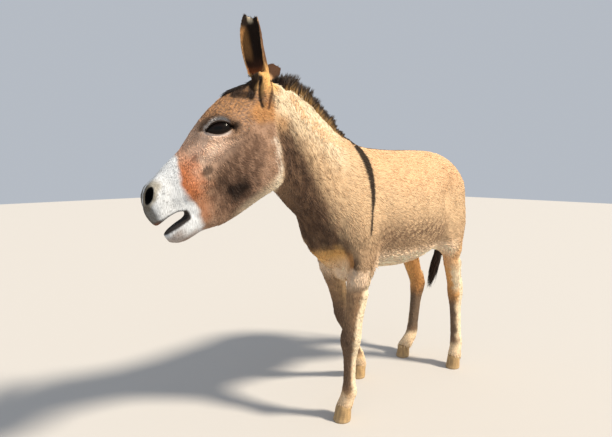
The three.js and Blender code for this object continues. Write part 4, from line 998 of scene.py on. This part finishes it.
def hairGrain():  # fine streaks that run along the body, or down it where the hair lies that way
    tree = bpy.data.node_groups.new("hairGrain", "ShaderNodeTree")
    for label, kind, value in (
        ("Colour", "NodeSocketColor", (0.5, 0.4, 0.3, 1.0)),
        ("Down", "NodeSocketFloat", 0.0),
        ("Depth", "NodeSocketFloat", 0.3),
    ):
        tree.interface.new_socket(label, in_out="INPUT", socket_type=kind).default_value = value
    tree.interface.new_socket("Colour", in_out="OUTPUT", socket_type="NodeSocketColor")
    tree.interface.new_socket("Height", in_out="OUTPUT", socket_type="NodeSocketFloat")
    start = tree.nodes.new("NodeGroupInput").outputs
    place = addNode(tree, "TexCoord", {}).outputs["Object"]
    streaks = []
    for scale in streakScales:
        mapping = addNode(tree, "Mapping", {"Scale": scale, "Vector": place})
        sockets = {"Scale": 1.0, "Detail": 3.0, "Vector": mapping.outputs["Vector"]}
        streaks.append(addNode(tree, "TexNoise", sockets).outputs["Fac"])
    sockets = {"Factor": start["Down"], "A": streaks[0], "B": streaks[1]}
    height = addNode(tree, "Mix", sockets, data_type="FLOAT").outputs["Result"]
    low = addNode(tree, "Math", {0: 1.0, 1: start["Depth"]}, operation="SUBTRACT").outputs["Value"]
    sockets = {"From Min": 0.3, "From Max": 0.7, "To Max": 1.12, "To Min": low, "Value": height}
    dim = addNode(tree, "MapRange", sockets).outputs["Result"]
    shade = addNode(tree, "VectorMath", {0: start["Colour"], "Scale": dim}, operation="SCALE")
    end = tree.nodes.new("NodeGroupOutput").inputs
    tree.links.new(shade.outputs["Vector"], end["Colour"])
    tree.links.new(height, end["Height"])
    return tree


grain = hairGrain()


def finish(name, looks):  # reads the piece's own colours; bump and grain where asked
    material = bpy.data.materials.new(name)
    material.use_nodes = True
    tree = material.node_tree
    shader = tree.nodes["Principled BSDF"].inputs
    shader["Roughness"].default_value = looks["roughness"]
    shader["Specular IOR Level"].default_value = looks["specular"]
    shader["Coat Weight"].default_value = looks.get("gloss", 0.0)
    shader["Coat Roughness"].default_value = 0.03
    shader["Sheen Weight"].default_value = looks.get("sheen", 0.0)
    shader["Sheen Roughness"].default_value = 0.45
    colour = addNode(tree, "VertexColor", {}, layer_name="coatColor").outputs["Color"]
    if "grain" in looks:
        streaks = tree.nodes.new("ShaderNodeGroup")
        streaks.node_tree = grain
        streaks.inputs["Depth"].default_value = looks["grain"]
        tree.links.new(colour, streaks.inputs["Colour"])
        if looks.get("lie"):
            way = addNode(tree, "Attribute", {}, attribute_name="hairDown")
            tree.links.new(way.outputs["Fac"], streaks.inputs["Down"])
        colour = streaks.outputs["Colour"]
        sockets = {"Strength": looks["bump"], "Distance": 0.002, "Height": streaks.outputs["Height"]}
        tree.links.new(addNode(tree, "Bump", sockets).outputs["Normal"], shader["Normal"])
    tree.links.new(colour, shader["Base Color"])
    return material


finishLooks = {
    "skin": ("skinCoat", {"roughness": 0.85, "specular": 0.07, "grain": 0.35, "bump": 0.6, "lie": True}),
    "coat": ("coatHair", {"roughness": 0.72, "specular": 0.13, "sheen": 0.04}),
    "muzzle": ("muzzleHair", {"roughness": 0.7, "specular": 0.3}),
    "darkHair": ("darkHair", {"roughness": 0.6, "specular": 0.2}),
    "hoof": ("hoofHorn", {"roughness": 0.5, "specular": 0.4, "grain": 0.3, "bump": 0.5}),
    "eye": ("eyeGloss", {"roughness": 0.3, "specular": 0.04, "gloss": 0.22}),
}
finishes = {key: finish(*looks) for key, looks in finishLooks.items()}


def paint(piece, colours, material):
    attribute = piece.data.color_attributes.new("coatColor", "FLOAT_COLOR", "POINT")
    filled = np.column_stack([colours, np.ones(len(colours))]).astype(np.float32)
    attribute.data.foreach_set("color", filled.ravel())
    piece.data.materials.append(finishes[material])


# the lie of the coat
def lieOf(own, normals):
    x, _, z = own.T
    along, _, above = toHead(own).T
    nose, cheek, forehead = (
        headWay(way) for way in ((0.75, 0.0, -0.4), (-0.3, 0.0, -0.95), (-0.95, 0.0, 0.1))
    )
    way = over(
        tiled((1.0, 0.0, -0.35), len(own)),
        ((0.45, 0.0, -0.9), ramp(0.36, 0.48, x)),
        ((0.55, 0.0, -0.83), ramp(-0.36, -0.55, x)),
        ((0.25, 0.0, -1.0), ramp(0.9, 0.72, z) * ramp(-0.25, -0.4, x)),
        ((0.05, 0.0, -1.0), ramp(0.68, 0.56, z)),
        ((1.0, 0.0, 0.1), ramp(-0.5, -0.8, normals[:, 2]) * (z > 0.5) * (np.abs(x) < 0.4)),
    )
    onFace = over(
        tiled(cheek, len(own)),
        (nose, ramp(0.27, 0.4, along)),
        (forehead, ramp(0.24, 0.14, along) * ramp(-0.02, 0.04, above)),
        (nose, ramp(0.24, 0.32, along) * ramp(0.0, 0.05, above)),
    )
    onEars = ((ear["axis"], earShare(own, ear, 0.0, 0.12)) for ear in ears.values())
    way = over(way, (onFace, headMask(own)), *onEars)
    way = way + np.column_stack([speckle(own, 0.11, 30 + k) - 0.5 for k in range(3)]) * coat["bend"]
    return unit(way - normals * (way * normals).sum(1)[:, None])


coat = {
    # length and width of a tuft, and its cover: how many times over the tufts hide the skin
    "body": (0.019, 0.0034, 1.08),
    "leg": (0.015, 0.0034, 1.15),
    "shin": (0.012, 0.003, 1.15),
    "coronet": (0.022, 0.0042, 2.2),
    "head": (0.0125, 0.0026, 1.3),
    "snout": (0.0065, 0.0017, 0.8),
    "ear": (0.0085, 0.0019, 0.75),
    "sizeSpread": 0.2,
    "waySpread": 0.2,
    "lift": 0.19,
    "liftSpread": 0.07,
    "shaggyLift": 0.16,  # added along the belly
    "curl": 0.62,
    "flat": 0.45,
    "rootShade": 0.8,
    "tipShade": 1.18,
    "toneSpread": 0.14,
    "sunk": 0.0008,  # how deep a tuft stands in the skin
    "bend": 0.55,  # how far its way wanders over the body
    "darkHairs": (0.05, 0.3),  # share of the tufts on the muzzle, and their shade
    "patch": 0.0014,  # half-height of a tuft's place on the unwrap
}


def coatSize(own):  # length and width of a tuft, and how many of them lie on a square metre
    z = own[:, 2]
    onHead = headMask(own)
    size = over(
        tiled(coat["body"], len(own)),
        (coat["leg"], ramp(0.68, 0.5, z)),
        (coat["shin"], ramp(0.4, 0.3, z)),
        (coat["coronet"], ramp(0.088, 0.07, z)),
        (coat["head"], onHead),
        (coat["snout"], onHead * ramp(0.38, 0.46, toHead(own)[:, 0])),
        *((coat["ear"], earShare(own, ear, 0.0, 0.12)) for ear in ears.values()),
    )
    length, width, cover = size.T
    return length, width, cover / (0.5 * length * width)


def hairShare(own, normals):  # 0 where no hair grows: the eyes, nostrils and lips
    bare = np.zeros(len(own))
    for eye in eyes.values():
        local, inside, _ = lidCurves(eye, own)
        bare = np.maximum(bare, ramp(-0.009, -0.006, inside) * (np.linalg.norm(local, axis=1) < 0.09))
    for side in sides.values():
        reach, _, nearby = nostrilPlace(own, side)
        bare = np.maximum(bare, ramp(1.5, 1.25, reach) * (nearby > 0.3))
    along, _, above = toHead(own).T
    for line in mouth.values():
        near = awayFrom(np.column_stack([along, above, along * 0]), line)
        bare = np.maximum(bare, ramp(0.014, 0.009, near) * (along > 0.455))
    for ear in ears.values():
        t, radial, offset = earPlace(own, ear)
        cup = ramp(0.0, 0.4, -(normals * radial).sum(1))
        onEar = (t > 0.08) & (np.linalg.norm(offset, axis=1) < earSize["reach"])
        bare = np.maximum(bare, 0.75 * cup * onEar)
    return 1.0 - bare


# tufts and locks, all from one small pointed shape
def pointedShape(levels, bulge):  # three-sided, one unit tall, with rings: places and triangles
    bm = bmesh.new()
    bmesh.ops.create_cone(bm, cap_ends=True, segments=3, radius1=0.58, radius2=0.0, depth=1.0)
    bmesh.ops.translate(bm, verts=bm.verts, vec=(0.0, 0.0, 0.5))
    bmesh.ops.remove_doubles(bm, verts=bm.verts, dist=1e-4)
    for level in levels:
        sliced(bm, (0, 0, level), (0, 0, 1))
    for v in bm.verts:
        if 0.01 < v.co.z < 0.99:
            fuller = bulge * (1.0 - v.co.z**2) / (1.0 - v.co.z)
            v.co.x *= fuller
            v.co.y *= fuller
    bmesh.ops.triangulate(bm, faces=bm.faces)
    bmesh.ops.recalc_face_normals(bm, faces=bm.faces)
    points = np.array([v.co[:] for v in bm.verts])
    faces = np.array([[v.index for v in face.verts] for face in bm.faces])
    bm.free()
    return points, faces


tuftShape = pointedShape((0.5,), 0.78)
lockShape = pointedShape((0.34, 0.68), 0.8)


# one joined mesh of tufts; roots holds their places, ways, sides, lengths, widths and unwrap
def hairPiece(name, shape, roots, colours, material, nodes=()):
    points, faces = shape
    count, perTuft = len(roots["place"]), len(points)
    t = points[:, 2]
    long, wide = (roots[key][:, None, None] for key in ("length", "width"))
    reach, bend = long * t[None, :, None], long * (t**2)[None, :, None]
    centre = roots["place"][:, None] + (roots["way"][:, None] * reach + roots["bend"][:, None] * bend)
    side = roots["side"][:, None] * (points[None, :, 0, None] * wide)
    up = roots["up"][:, None] * (points[None, :, 1, None] * wide * roots["flat"])
    co = (centre + side + up).reshape(-1, 3) + shift
    loops = (faces[None] + perTuft * np.arange(count)[:, None, None]).reshape(-1)
    mesh = bpy.data.meshes.new(name)
    mesh.vertices.add(len(co))
    mesh.vertices.foreach_set("co", co.astype(np.float32).ravel())
    mesh.loops.add(len(loops))
    mesh.loops.foreach_set("vertex_index", loops.astype(np.int32))
    mesh.polygons.add(len(loops) // 3)
    mesh.polygons.foreach_set("loop_start", np.arange(0, len(loops), 3, dtype=np.int32))
    smoothed(mesh)
    layer = mesh.uv_layers.new(name="OFBake")
    patch = np.column_stack([points[:, 0], t - 0.5]) * coat["patch"]
    uv = (roots["uv"][:, None] + patch[None]).reshape(-1, 2)
    layer.data.foreach_set("uv", uv[loops].astype(np.float32).ravel())
    mesh.update(calc_edges=True)
    mesh.validate()
    piece = inScene(name, mesh)
    low, middle, high = (tone[:, None] for tone in colours)
    shaded = mix(mix(low, middle, np.clip(t * 2, 0, 1)[None]), high, np.clip(t * 2 - 1, 0, 1)[None])
    shaded = shaded * mix(roots["rootShade"], roots["tipShade"], t)[None, :, None]
    paint(piece, np.clip(shaded.reshape(-1, 3), *paintRange), material)
    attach(piece, "root")
    if nodes:
        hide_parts(*nodes)
    return piece


def skinUnwrap(piece):
    bpy.context.view_layer.objects.active = piece
    piece.select_set(True)
    layer = piece.data.uv_layers.new(name="OFBake").name
    bpy.ops.object.mode_set(mode="EDIT")
    bpy.ops.mesh.select_all(action="SELECT")
    bpy.ops.uv.smart_project(angle_limit=math.radians(66), island_margin=0.002)
    bpy.ops.object.mode_set(mode="OBJECT")
    piece.select_set(False)
    return readOut(piece.data.uv_layers[layer].data, "uv", 2)


mesh = skinPiece.data
own = places(mesh) - shift
normals = vertexNormals(mesh)
skinUv = skinUnwrap(skinPiece)
paint(skinPiece, coatColour(own, normals) * skin["shade"], "skin")
hairDown = ramp(0.3, 0.8, np.abs(lieOf(own, normals)[:, 2]))
attribute = mesh.attributes.new("hairDown", "FLOAT", "POINT")
attribute.data.foreach_set("value", hairDown.astype(np.float32))
mesh.calc_loop_triangles()
corners, cornerLoops = (readOut(mesh.loop_triangles, key, 3, np.int32) for key in ("vertices", "loops"))
skinTree = BVHTree.FromPolygons([Vector(p) for p in own], corners.tolist())
print("skin painted and unwrapped:", len(corners), "triangles")

zones = ("coatNeck", "coatShoulders", "coatBarrel", "coatQuarters", "coatForelegs", "coatHindlegs")
zones += ("coatFace", "coatCheeks", "coatMuzzle", "coatEars")


def zoneOf(own):
    x, _, z = own.T
    along, _, above = toHead(own).T
    zone = np.where(x < -0.17, 1, np.where(x < 0.22, 2, 3))
    zone = np.where(x < -0.46, 0, zone)
    zone = np.where(z < 0.6, np.where(x < 0.1, 4, 5), zone)
    head = headMask(own) > 0.5
    zone = np.where(head, np.where(above > -0.05, 6, 7), zone)
    zone = np.where(head & (along > 0.41), 8, zone)
    for ear in ears.values():
        t, _, offset = earPlace(own, ear)
        zone = np.where((t > 0.06) & (np.linalg.norm(offset, axis=1) < earSize["reach"]), 9, zone)
    return zone


def growCoat():
    a, b, c = (own[corners[:, k]] for k in range(3))
    across = np.cross(b - a, c - a)
    middle = (a + b + c) / 3.0
    expected = 0.5 * np.linalg.norm(across, axis=1) * coatSize(middle)[2]
    counts = draw.poisson(expected * hairShare(middle, unit(across)))
    face = np.repeat(np.arange(len(corners)), counts)
    share = draw.random((len(face), 2))
    outside = share.sum(1) > 1
    share[outside] = 1 - share[outside]
    weights = np.column_stack([1 - share.sum(1), share])[:, :, None]
    root = (own[corners[face]] * weights).sum(1)
    normal = unit((normals[corners[face]] * weights).sum(1))
    rootUv = (skinUv[cornerLoops[face]] * weights).sum(1)
    way = lieOf(root, normal)
    length, width, _ = coatSize(root)
    size = draw.normal(1.0, coat["sizeSpread"], len(face)).clip(0.5, 1.7)
    turn = draw.normal(0.0, coat["waySpread"], len(face))[:, None]
    way = unit(way + np.cross(normal, way) * turn)
    side = np.cross(normal, way)
    shaggy = ramp(0.72, 0.66, root[:, 2]) * ramp(0.58, 0.62, root[:, 2]) * (np.abs(root[:, 0]) < 0.36)
    lift = draw.normal(coat["lift"], coat["liftSpread"], len(face)).clip(0.06, 0.45)
    lift = (lift + coat["shaggyLift"] * shaggy)[:, None]
    size = size * (1.0 + 0.5 * shaggy)
    reach = (length * size)[:, None] * way
    shades = [coatColour(root + reach * share, normal) for share in (0.0, 0.45, 0.9)]
    tone = draw.normal(1.0, coat["toneSpread"], len(face)).clip(0.5, 1.6)
    tone *= 0.84 + 0.32 * speckle(root * (1.0, 1.0, 2.2), 0.02, 9)
    onSnout = headMask(root) * ramp(0.38, 0.44, toHead(root)[:, 0])
    tone = 1.0 + (tone - 1.0) * (1.0 - 0.8 * onSnout)
    zone = zoneOf(root)
    # single dark hairs on the white of the muzzle
    often, dark = coat["darkHairs"]
    single = (zone == zones.index("coatMuzzle")) & (draw.random(len(tone)) < often)
    tone = np.where(single, dark, tone)
    total = 0
    for index, name in enumerate(zones):
        mine = zone == index
        roots = {
            "place": root[mine] - normal[mine] * coat["sunk"],
            "way": unit(way[mine] + normal[mine] * lift[mine]),
            "bend": -normal[mine] * (lift[mine] * coat["curl"]),
            "side": side[mine],
            "up": normal[mine],
            "length": (length * size)[mine],
            "width": (width * size)[mine],
            "uv": rootUv[mine],
            **{key: coat[key] for key in ("flat", "rootShade", "tipShade")},
        }
        slot = "muzzle" if name == "coatMuzzle" else "coat"
        tones = [shade[mine] * tone[mine][:, None] for shade in shades]
        piece = hairPiece(name, tuftShape, roots, tones, slot)
        total += len(piece.data.polygons)
        print(" ", name, int(mine.sum()), "tufts,", len(piece.data.polygons), "triangles")
    print("coat:", total, "triangles")


growCoat()


# mane, forelock and tail
def uvUnder(root):  # the place on the unwrap of the skin nearest each root
    near = [skinTree.find_nearest(Vector(p))[2] for p in root]
    return np.array([skinUv[cornerLoops[index]].mean(0) for index in near])


def rootsOnSkin(points, out):  # the skin under each point, with its place on the unwrap
    found, uvs = [], []
    for point, way in zip(points, out):
        hit, _, index, _ = skinTree.ray_cast(Vector(point), Vector(-way), 0.2)
        if hit is None:
            hit, _, index, _ = skinTree.find_nearest(Vector(point))
        found.append(hit[:])
        uvs.append(skinUv[cornerLoops[index]].mean(0))
    return np.array(found), np.array(uvs)


def rowsAt(rows, stations, s):
    return np.column_stack([np.interp(s, stations, column) for column in rows.T])


def wayAt(rows, stations, s, step):  # the way the rows run, at each station asked for
    ends = (rowsAt(rows[:, :3], stations, s + side * step) for side in (1, -1))
    return unit(np.subtract(*ends))


def growLocks(name, nodes, beside, tones, **roots):
    side = unit(np.cross(roots["way"], beside) + 1e-6)
    roots.update(side=side, up=np.cross(side, roots["way"]), flat=0.6)
    tones = tones if isinstance(tones, tuple) else (tones,) * 3
    piece = hairPiece(name, lockShape, roots, tones, "darkHair", nodes)
    print(name, len(roots["place"]), "locks,", len(piece.data.polygons), "triangles")


mane = {
    # the crest from the withers to the poll: place, height of the hair, half-width
    "crest": [
        (-0.312, -0.001, 1.14, 0.012, 0.014),
        (-0.352, -0.003, 1.156, 0.024, 0.017),
        (-0.424, -0.01, 1.19, 0.036, 0.019),
        (-0.498, -0.022, 1.232, 0.046, 0.02),
        (-0.57, -0.038, 1.266, 0.054, 0.021),
        (-0.64, -0.056, 1.288, 0.067, 0.022),
        (-0.7, -0.073, 1.296, 0.078, 0.022),
        (-0.748, -0.087, 1.298, 0.078, 0.018),
        (-0.785, -0.099, 1.297, 0.068, 0.016),
    ],
    "locks": 7800,
    "clump": 0.024,  # along the crest
    "width": 0.0055,
    "spread": (-3.0, 1.8),  # of the roots across the crest, in half-widths
    "above": 0.05,  # where the search for the skin starts
    "leanBack": 0.16,
    "fan": 0.1,  # how far the outer locks lean out
    "sunk": 0.006,
    "footShare": 0.16,  # of the locks, with a short sandy one at the foot of the mane
}


def growMane():
    rows = np.array(mane["crest"])
    passed = np.concatenate([[0.0], np.cumsum(np.linalg.norm(np.diff(rows[:, :3], axis=0), axis=1))])
    s = draw.random(mane["locks"]) * passed[-1]
    at = rowsAt(rows, passed, s)
    crest, tall, half = at[:, :3], at[:, 3], at[:, 4]
    ahead = wayAt(rows, passed, s, 0.01)
    across = unit(np.cross((0.0, 0.0, 1.0), ahead))
    up = unit(np.cross(ahead, across))
    up = np.where(up[:, 2:] < 0, -up, up)
    sideways = draw.uniform(*mane["spread"], len(s))
    root, uvs = rootsOnSkin(crest + across * (sideways * half)[:, None] + up * mane["above"], up)
    # hairs of a clump lean together, and the clumps lean back a little
    clump = np.floor(s / mane["clump"] + 0.35 * np.sin(s * 90.0)).astype(int)
    leans = np.random.default_rng(5).normal(0.0, 1.0, (clump.max() + 3, 3))[clump]
    toMiddle = ((clump + 0.5) * mane["clump"] - s)[:, None] * ahead
    fan = across * (sideways * mane["fan"])[:, None]
    way = unit(up - ahead * mane["leanBack"] + fan + draw.normal(0, 0.05, (len(s), 3)))
    height = tall * draw.uniform(0.7, 1.0, len(s)) * (1.0 - 0.06 * sideways**2)
    height *= 1.0 + 0.16 * leans[:, 0].clip(-1.5, 0.6)
    root = root - up * mane["sunk"]
    length = np.maximum(height - ((root - crest) * up).sum(1), 0.01)
    bend = toMiddle / np.maximum(length, 0.02)[:, None] * 1.1
    bend = bend - ahead * 0.12 + across * (0.12 * leans[:, 1])[:, None]
    width = mane["width"] * draw.uniform(0.7, 1.25, len(s)) * ramp(-0.01, 0.03, length)
    edge = np.abs(sideways) + draw.normal(0, 0.3, len(s))
    tips = tiled(paints["dark"] * 0.9, len(s)) * draw.uniform(0.5, 1.6, len(s))[:, None]
    low = mix(tips * 1.4, paints["amber"] * 0.65, ramp(1.1, 2.0, edge))
    middle = mix(tips * 1.2, paints["amber"] * 0.4, 0.6 * ramp(1.6, 2.4, edge))
    growLocks(
        "maneHair", ("mane",), ahead, (low, middle, tips), place=root, uv=uvs, way=way, bend=bend,
        length=length, width=width, rootShade=1.0, tipShade=0.9,
    )
    few = draw.random(len(s)) < mane["footShare"]
    count, up, ahead = few.sum(), up[few], ahead[few]
    sandy = tiled(paints["tan"], count) * draw.uniform(0.7, 1.15, count)[:, None]
    outward = np.sign(sideways[few])[:, None] * across[few]
    foot = crest[few] + outward * (half[few] * draw.uniform(2.7, 3.3, count))[:, None]
    root, uvs = rootsOnSkin(foot + up * mane["above"], up)
    way = unit(up * 0.9 + outward * 0.35 - ahead * 0.35 + draw.normal(0, 0.08, (count, 3)))
    length = tall[few] * draw.uniform(0.06, 0.16, count) + 0.008
    growLocks(
        "maneFoot", (), ahead, sandy, place=root - up * 0.004, uv=uvs, way=way, bend=-outward * 0.25,
        length=length, width=width[few] * 0.8, rootShade=0.9, tipShade=1.1,
    )


growMane()

forelock = {
    # along the head, above it and half-width, in the head's frame
    "rows": [(0.0, 0.032, 0.026), (0.044, 0.047, 0.028), (0.084, 0.062, 0.026), (0.1, 0.066, 0.018)],
    "span": (0.015, 0.096),
    "locks": 1900,
    "length": (0.028, 0.048),
    "width": (0.0026, 0.0044),
    "nearEars": 0.3,  # length there, so that no lock climbs an ear
}


def growForelock():
    count = forelock["locks"]
    along = draw.uniform(*forelock["span"], count)
    sideways = draw.uniform(-1.0, 1.0, count)
    rows = np.array(forelock["rows"])
    above, half = rowsAt(rows[:, 1:], rows[:, 0], along).T
    out = tiled(headWay((0.0, 0.0, 1.0)), count)
    root, uvs = rootsOnSkin(fromHead(np.column_stack([along, sideways * half, above + 0.04])), out)
    way = headAxes[0] * 0.8 + out * 0.55 + headAxes[1] * (0.2 * sideways)[:, None]
    way = unit(way + draw.normal(0, 0.1, (count, 3)))
    offEars = toHead(root)[:, 2] < above + 0.022
    length = draw.uniform(*forelock["length"], count) * (1.0 - 0.25 * sideways**2)
    length = length * np.where(offEars, 1.0, forelock["nearEars"])
    tones = tiled(paints["dark"], count) * draw.uniform(0.6, 1.5, count)[:, None]
    growLocks(
        "forelockHair", ("forelock",), out, tones, place=root - out * 0.003, uv=uvs, way=way,
        bend=headAxes[0] * 0.35 - out * 0.4, length=length,
        width=draw.uniform(*forelock["width"], count), rootShade=1.2, tipShade=0.8,
    )


growForelock()

tail = {
    # place and half-width
    "path": [
        (0.57, 0.008, 0.86, 0.022),
        (0.562, 0.018, 0.78, 0.022),
        (0.562, 0.034, 0.67, 0.024),
        (0.556, 0.054, 0.565, 0.029),
        (0.546, 0.074, 0.47, 0.021),
        (0.538, 0.088, 0.41, 0.009),
    ],
    "locks": 2300,
    "rooted": 3.6,  # how many stretches of the path carry roots
    "left": (0.46, 0.03),  # longest lock at the top and at the tip
    "length": (0.09, 0.19),
    "width": (0.003, 0.006),
}


def growTail():
    count = tail["locks"]
    rows = np.array(tail["path"])
    stations = np.arange(len(rows))
    s = np.sort(draw.random(count)) ** 0.8 * tail["rooted"]
    place = rowsAt(rows, stations, s)
    ahead = wayAt(rows, stations, s, 0.5)
    turn = draw.uniform(0, 2 * math.pi, count)[:, None]
    first = unit(np.cross(ahead, (0.0, 1.0, 0.0)))
    ring = first * np.cos(turn) + np.cross(ahead, first) * np.sin(turn)
    share = np.sqrt(draw.random(count))
    root = place[:, :3] + ring * (share * place[:, 3] * 0.62)[:, None]
    way = unit(ahead + ring * 0.16 + draw.normal(0, 0.04, (count, 3)))
    left = np.interp(s, stations, np.linspace(*tail["left"], len(rows)))
    length = draw.uniform(*tail["length"], count)
    length = np.minimum(length, left * draw.uniform(0.75, 1.12, count))
    tones = tiled(paints["dark"] * 1.5, count) * draw.uniform(0.6, 1.7, count)[:, None]
    growLocks(
        "tailHair", ("tail_tuft",), ring, tones, place=root, uv=uvUnder(root), way=way,
        bend=-ring * 0.22, length=length, width=draw.uniform(*tail["width"], count),
        rootShade=1.2, tipShade=0.85,
    )


growTail()

lashes = {"locks": 46, "span": (-0.82, 0.8), "length": 0.013, "width": 0.0013}


def growLashes():
    for name, eye in eyes.items():
        share = np.linspace(*lashes["span"], lashes["locks"])
        x = share * lids["halfLength"]
        y = upperLid(np.abs(share)) + lids["slope"] * x
        root = eye["lids"] + np.column_stack([x, y + 0.001, ballDome(x, y, 0.0)]) @ eye["axes"]
        jitter = draw.normal(0, 0.12, (len(x), 3))
        way = unit(np.column_stack([share * 0.7, 0.1 + 0 * x, 1.0 + 0 * x]) @ eye["axes"] + jitter)
        up = tiled(eye["axes"][1], len(x))
        length = lashes["length"] * draw.uniform(0.7, 1.15, len(x)) * (1.0 - 0.45 * share**2)
        growLocks(
            "lashes" + name.title(), (), up, tiled(paints["dark"], len(x)), place=root,
            uv=uvUnder(root), way=way, bend=-up * 0.35, length=length,
            width=np.full(len(x), lashes["width"]), rootShade=1.0, tipShade=1.0,
        )


growLashes()

# eyes
eyeLooks = {
    "iris": (0.008, 0.004, 0.003),
    "pupil": (0.002, 0.002, 0.002),
    "edge": (0.006, 0.004, 0.003),
    "irisSize": 0.017,
    "pupilSize": (0.0125, 0.0062),
    "back": 0.004,  # how far the ball stands back along the eye's long way
}


def makeEyes():
    for name, eye in eyes.items():
        bm = bmesh.new()
        at = Matrix.Translation(Vector(eye["centre"] - eye["axes"][0] * eyeLooks["back"] + shift))
        form = at @ axesMatrix(eye["axes"], lids["ball"])
        bmesh.ops.create_uvsphere(bm, u_segments=48, v_segments=32, radius=1.0, matrix=form)
        bmesh.ops.recalc_face_normals(bm, faces=bm.faces)
        piece = newPiece("eyeball" + name.title(), bm)
        smoothed(piece.data)
        x, y, _ = ((places(piece.data) - shift - eye["centre"]) @ eye["axes"].T).T
        wide, tall = eyeLooks["pupilSize"]
        colours = over(
            tiled(eyeLooks["edge"], len(x)),
            (eyeLooks["iris"], ramp(eyeLooks["irisSize"] + 0.002, eyeLooks["irisSize"], np.hypot(x, y))),
            (eyeLooks["pupil"], ramp(1.15, 0.9, np.hypot(x / wide, y / tall))),
        )
        paint(piece, colours, "eye")
        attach(piece, "root")
        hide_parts("eye_" + name)


makeEyes()
print("eyes made")

# hooves
hooves = {
    "voxel": 0.0026,
    "wall": (0.5, 0.33, 0.15),
    "stain": (0.2, 0.13, 0.07),
    "foot": (0.5, 0.36, 0.2),
    "smoothing": 12,
    "sole": 0.003,  # what lies below this is pressed flat on the floor
    "ringDepth": 0.006,
    "ringStep": 0.0085,
}


def makeHooves():
    for name in sorted(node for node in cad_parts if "hoof" in node):
        shape = newPiece("hoofShape", nodeShape(name))
        mesh = remeshed(shape, hooves["voxel"])
        bpy.data.objects.remove(shape)
        co = places(mesh)
        soft = smoothForm(co, edgesOf(mesh), hooves["smoothing"])
        soft[:, 2] = np.where(co[:, 2] < hooves["sole"], 0.0, np.maximum(soft[:, 2], 0.0))
        z = soft[:, 2]
        growth = hooves["ringDepth"] * np.sin(z * 2 * math.pi / hooves["ringStep"]) * ramp(0.006, 0.015, z)
        middle = soft[:, :2].mean(0)
        soft[:, :2] = middle + (soft[:, :2] - middle) * (1.0 + growth)[:, None]
        setPlaces(mesh, soft)
        smoothed(mesh)
        mesh.name = name.replace("_", " ").title().replace(" ", "")
        piece = inScene(mesh.name, mesh)
        streak = speckle((soft - shift) * (1.0, 1.0, 0.15), 0.01, 21)
        colours = over(
            tiled(hooves["wall"], len(z)),
            (hooves["stain"], 0.6 * streak),
            (hooves["foot"], 0.55 * ramp(0.02, 0.002, z)),
            (hooves["stain"], 0.5 * ramp(z.max() - 0.008, z.max(), z)),
        )
        paint(piece, colours, "hoof")
        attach(piece, "root")
        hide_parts(name)


makeHooves()
print("hooves made")

# floor and lights
studio = {
    "floor": (0.5, 0.49, 0.475),
    "floorSize": 14.0,
    "world": (0.8, 0.86, 0.95),
    "worldStrength": 0.58,
    "lights": [
        # name, the way to the lamp, softness in radians, strength, colour
        ("keyLight", (0.34, -0.62, 0.68), 0.14, 5.8, (1.0, 0.88, 0.72)),
        ("frontFill", (-0.75, -0.65, 0.35), 1.6, 0.25, (1.0, 0.93, 0.85)),
    ],
}


def makeStudio():
    bm = bmesh.new()
    bmesh.ops.create_grid(bm, x_segments=1, y_segments=1, size=studio["floorSize"])
    floor = newPiece("floor", bm)
    material = bpy.data.materials.new("floorPaint")
    material.use_nodes = True
    shader = material.node_tree.nodes["Principled BSDF"]
    shader.inputs["Base Color"].default_value = (*studio["floor"], 1.0)
    shader.inputs["Roughness"].default_value = 0.9
    floor.data.materials.append(material)
    world = bpy.data.worlds.new("studioAir")
    world.use_nodes = True
    air = world.node_tree.nodes["Background"]
    air.inputs["Color"].default_value = (*studio["world"], 1.0)
    air.inputs["Strength"].default_value = studio["worldStrength"]
    bpy.context.scene.world = world
    for name, way, softness, strength, colour in studio["lights"]:
        light = bpy.data.lights.new(name, "SUN")
        light.angle = softness
        light.energy = strength
        light.color = colour
        lamp = inScene(name, light)
        lamp.location = Vector(way) * 4.0
        lamp.rotation_euler = (-Vector(way)).to_track_quat("-Z", "Y").to_euler()
    bpy.context.scene.view_settings.view_transform = "Standard"


makeStudio()
print("scene ready")
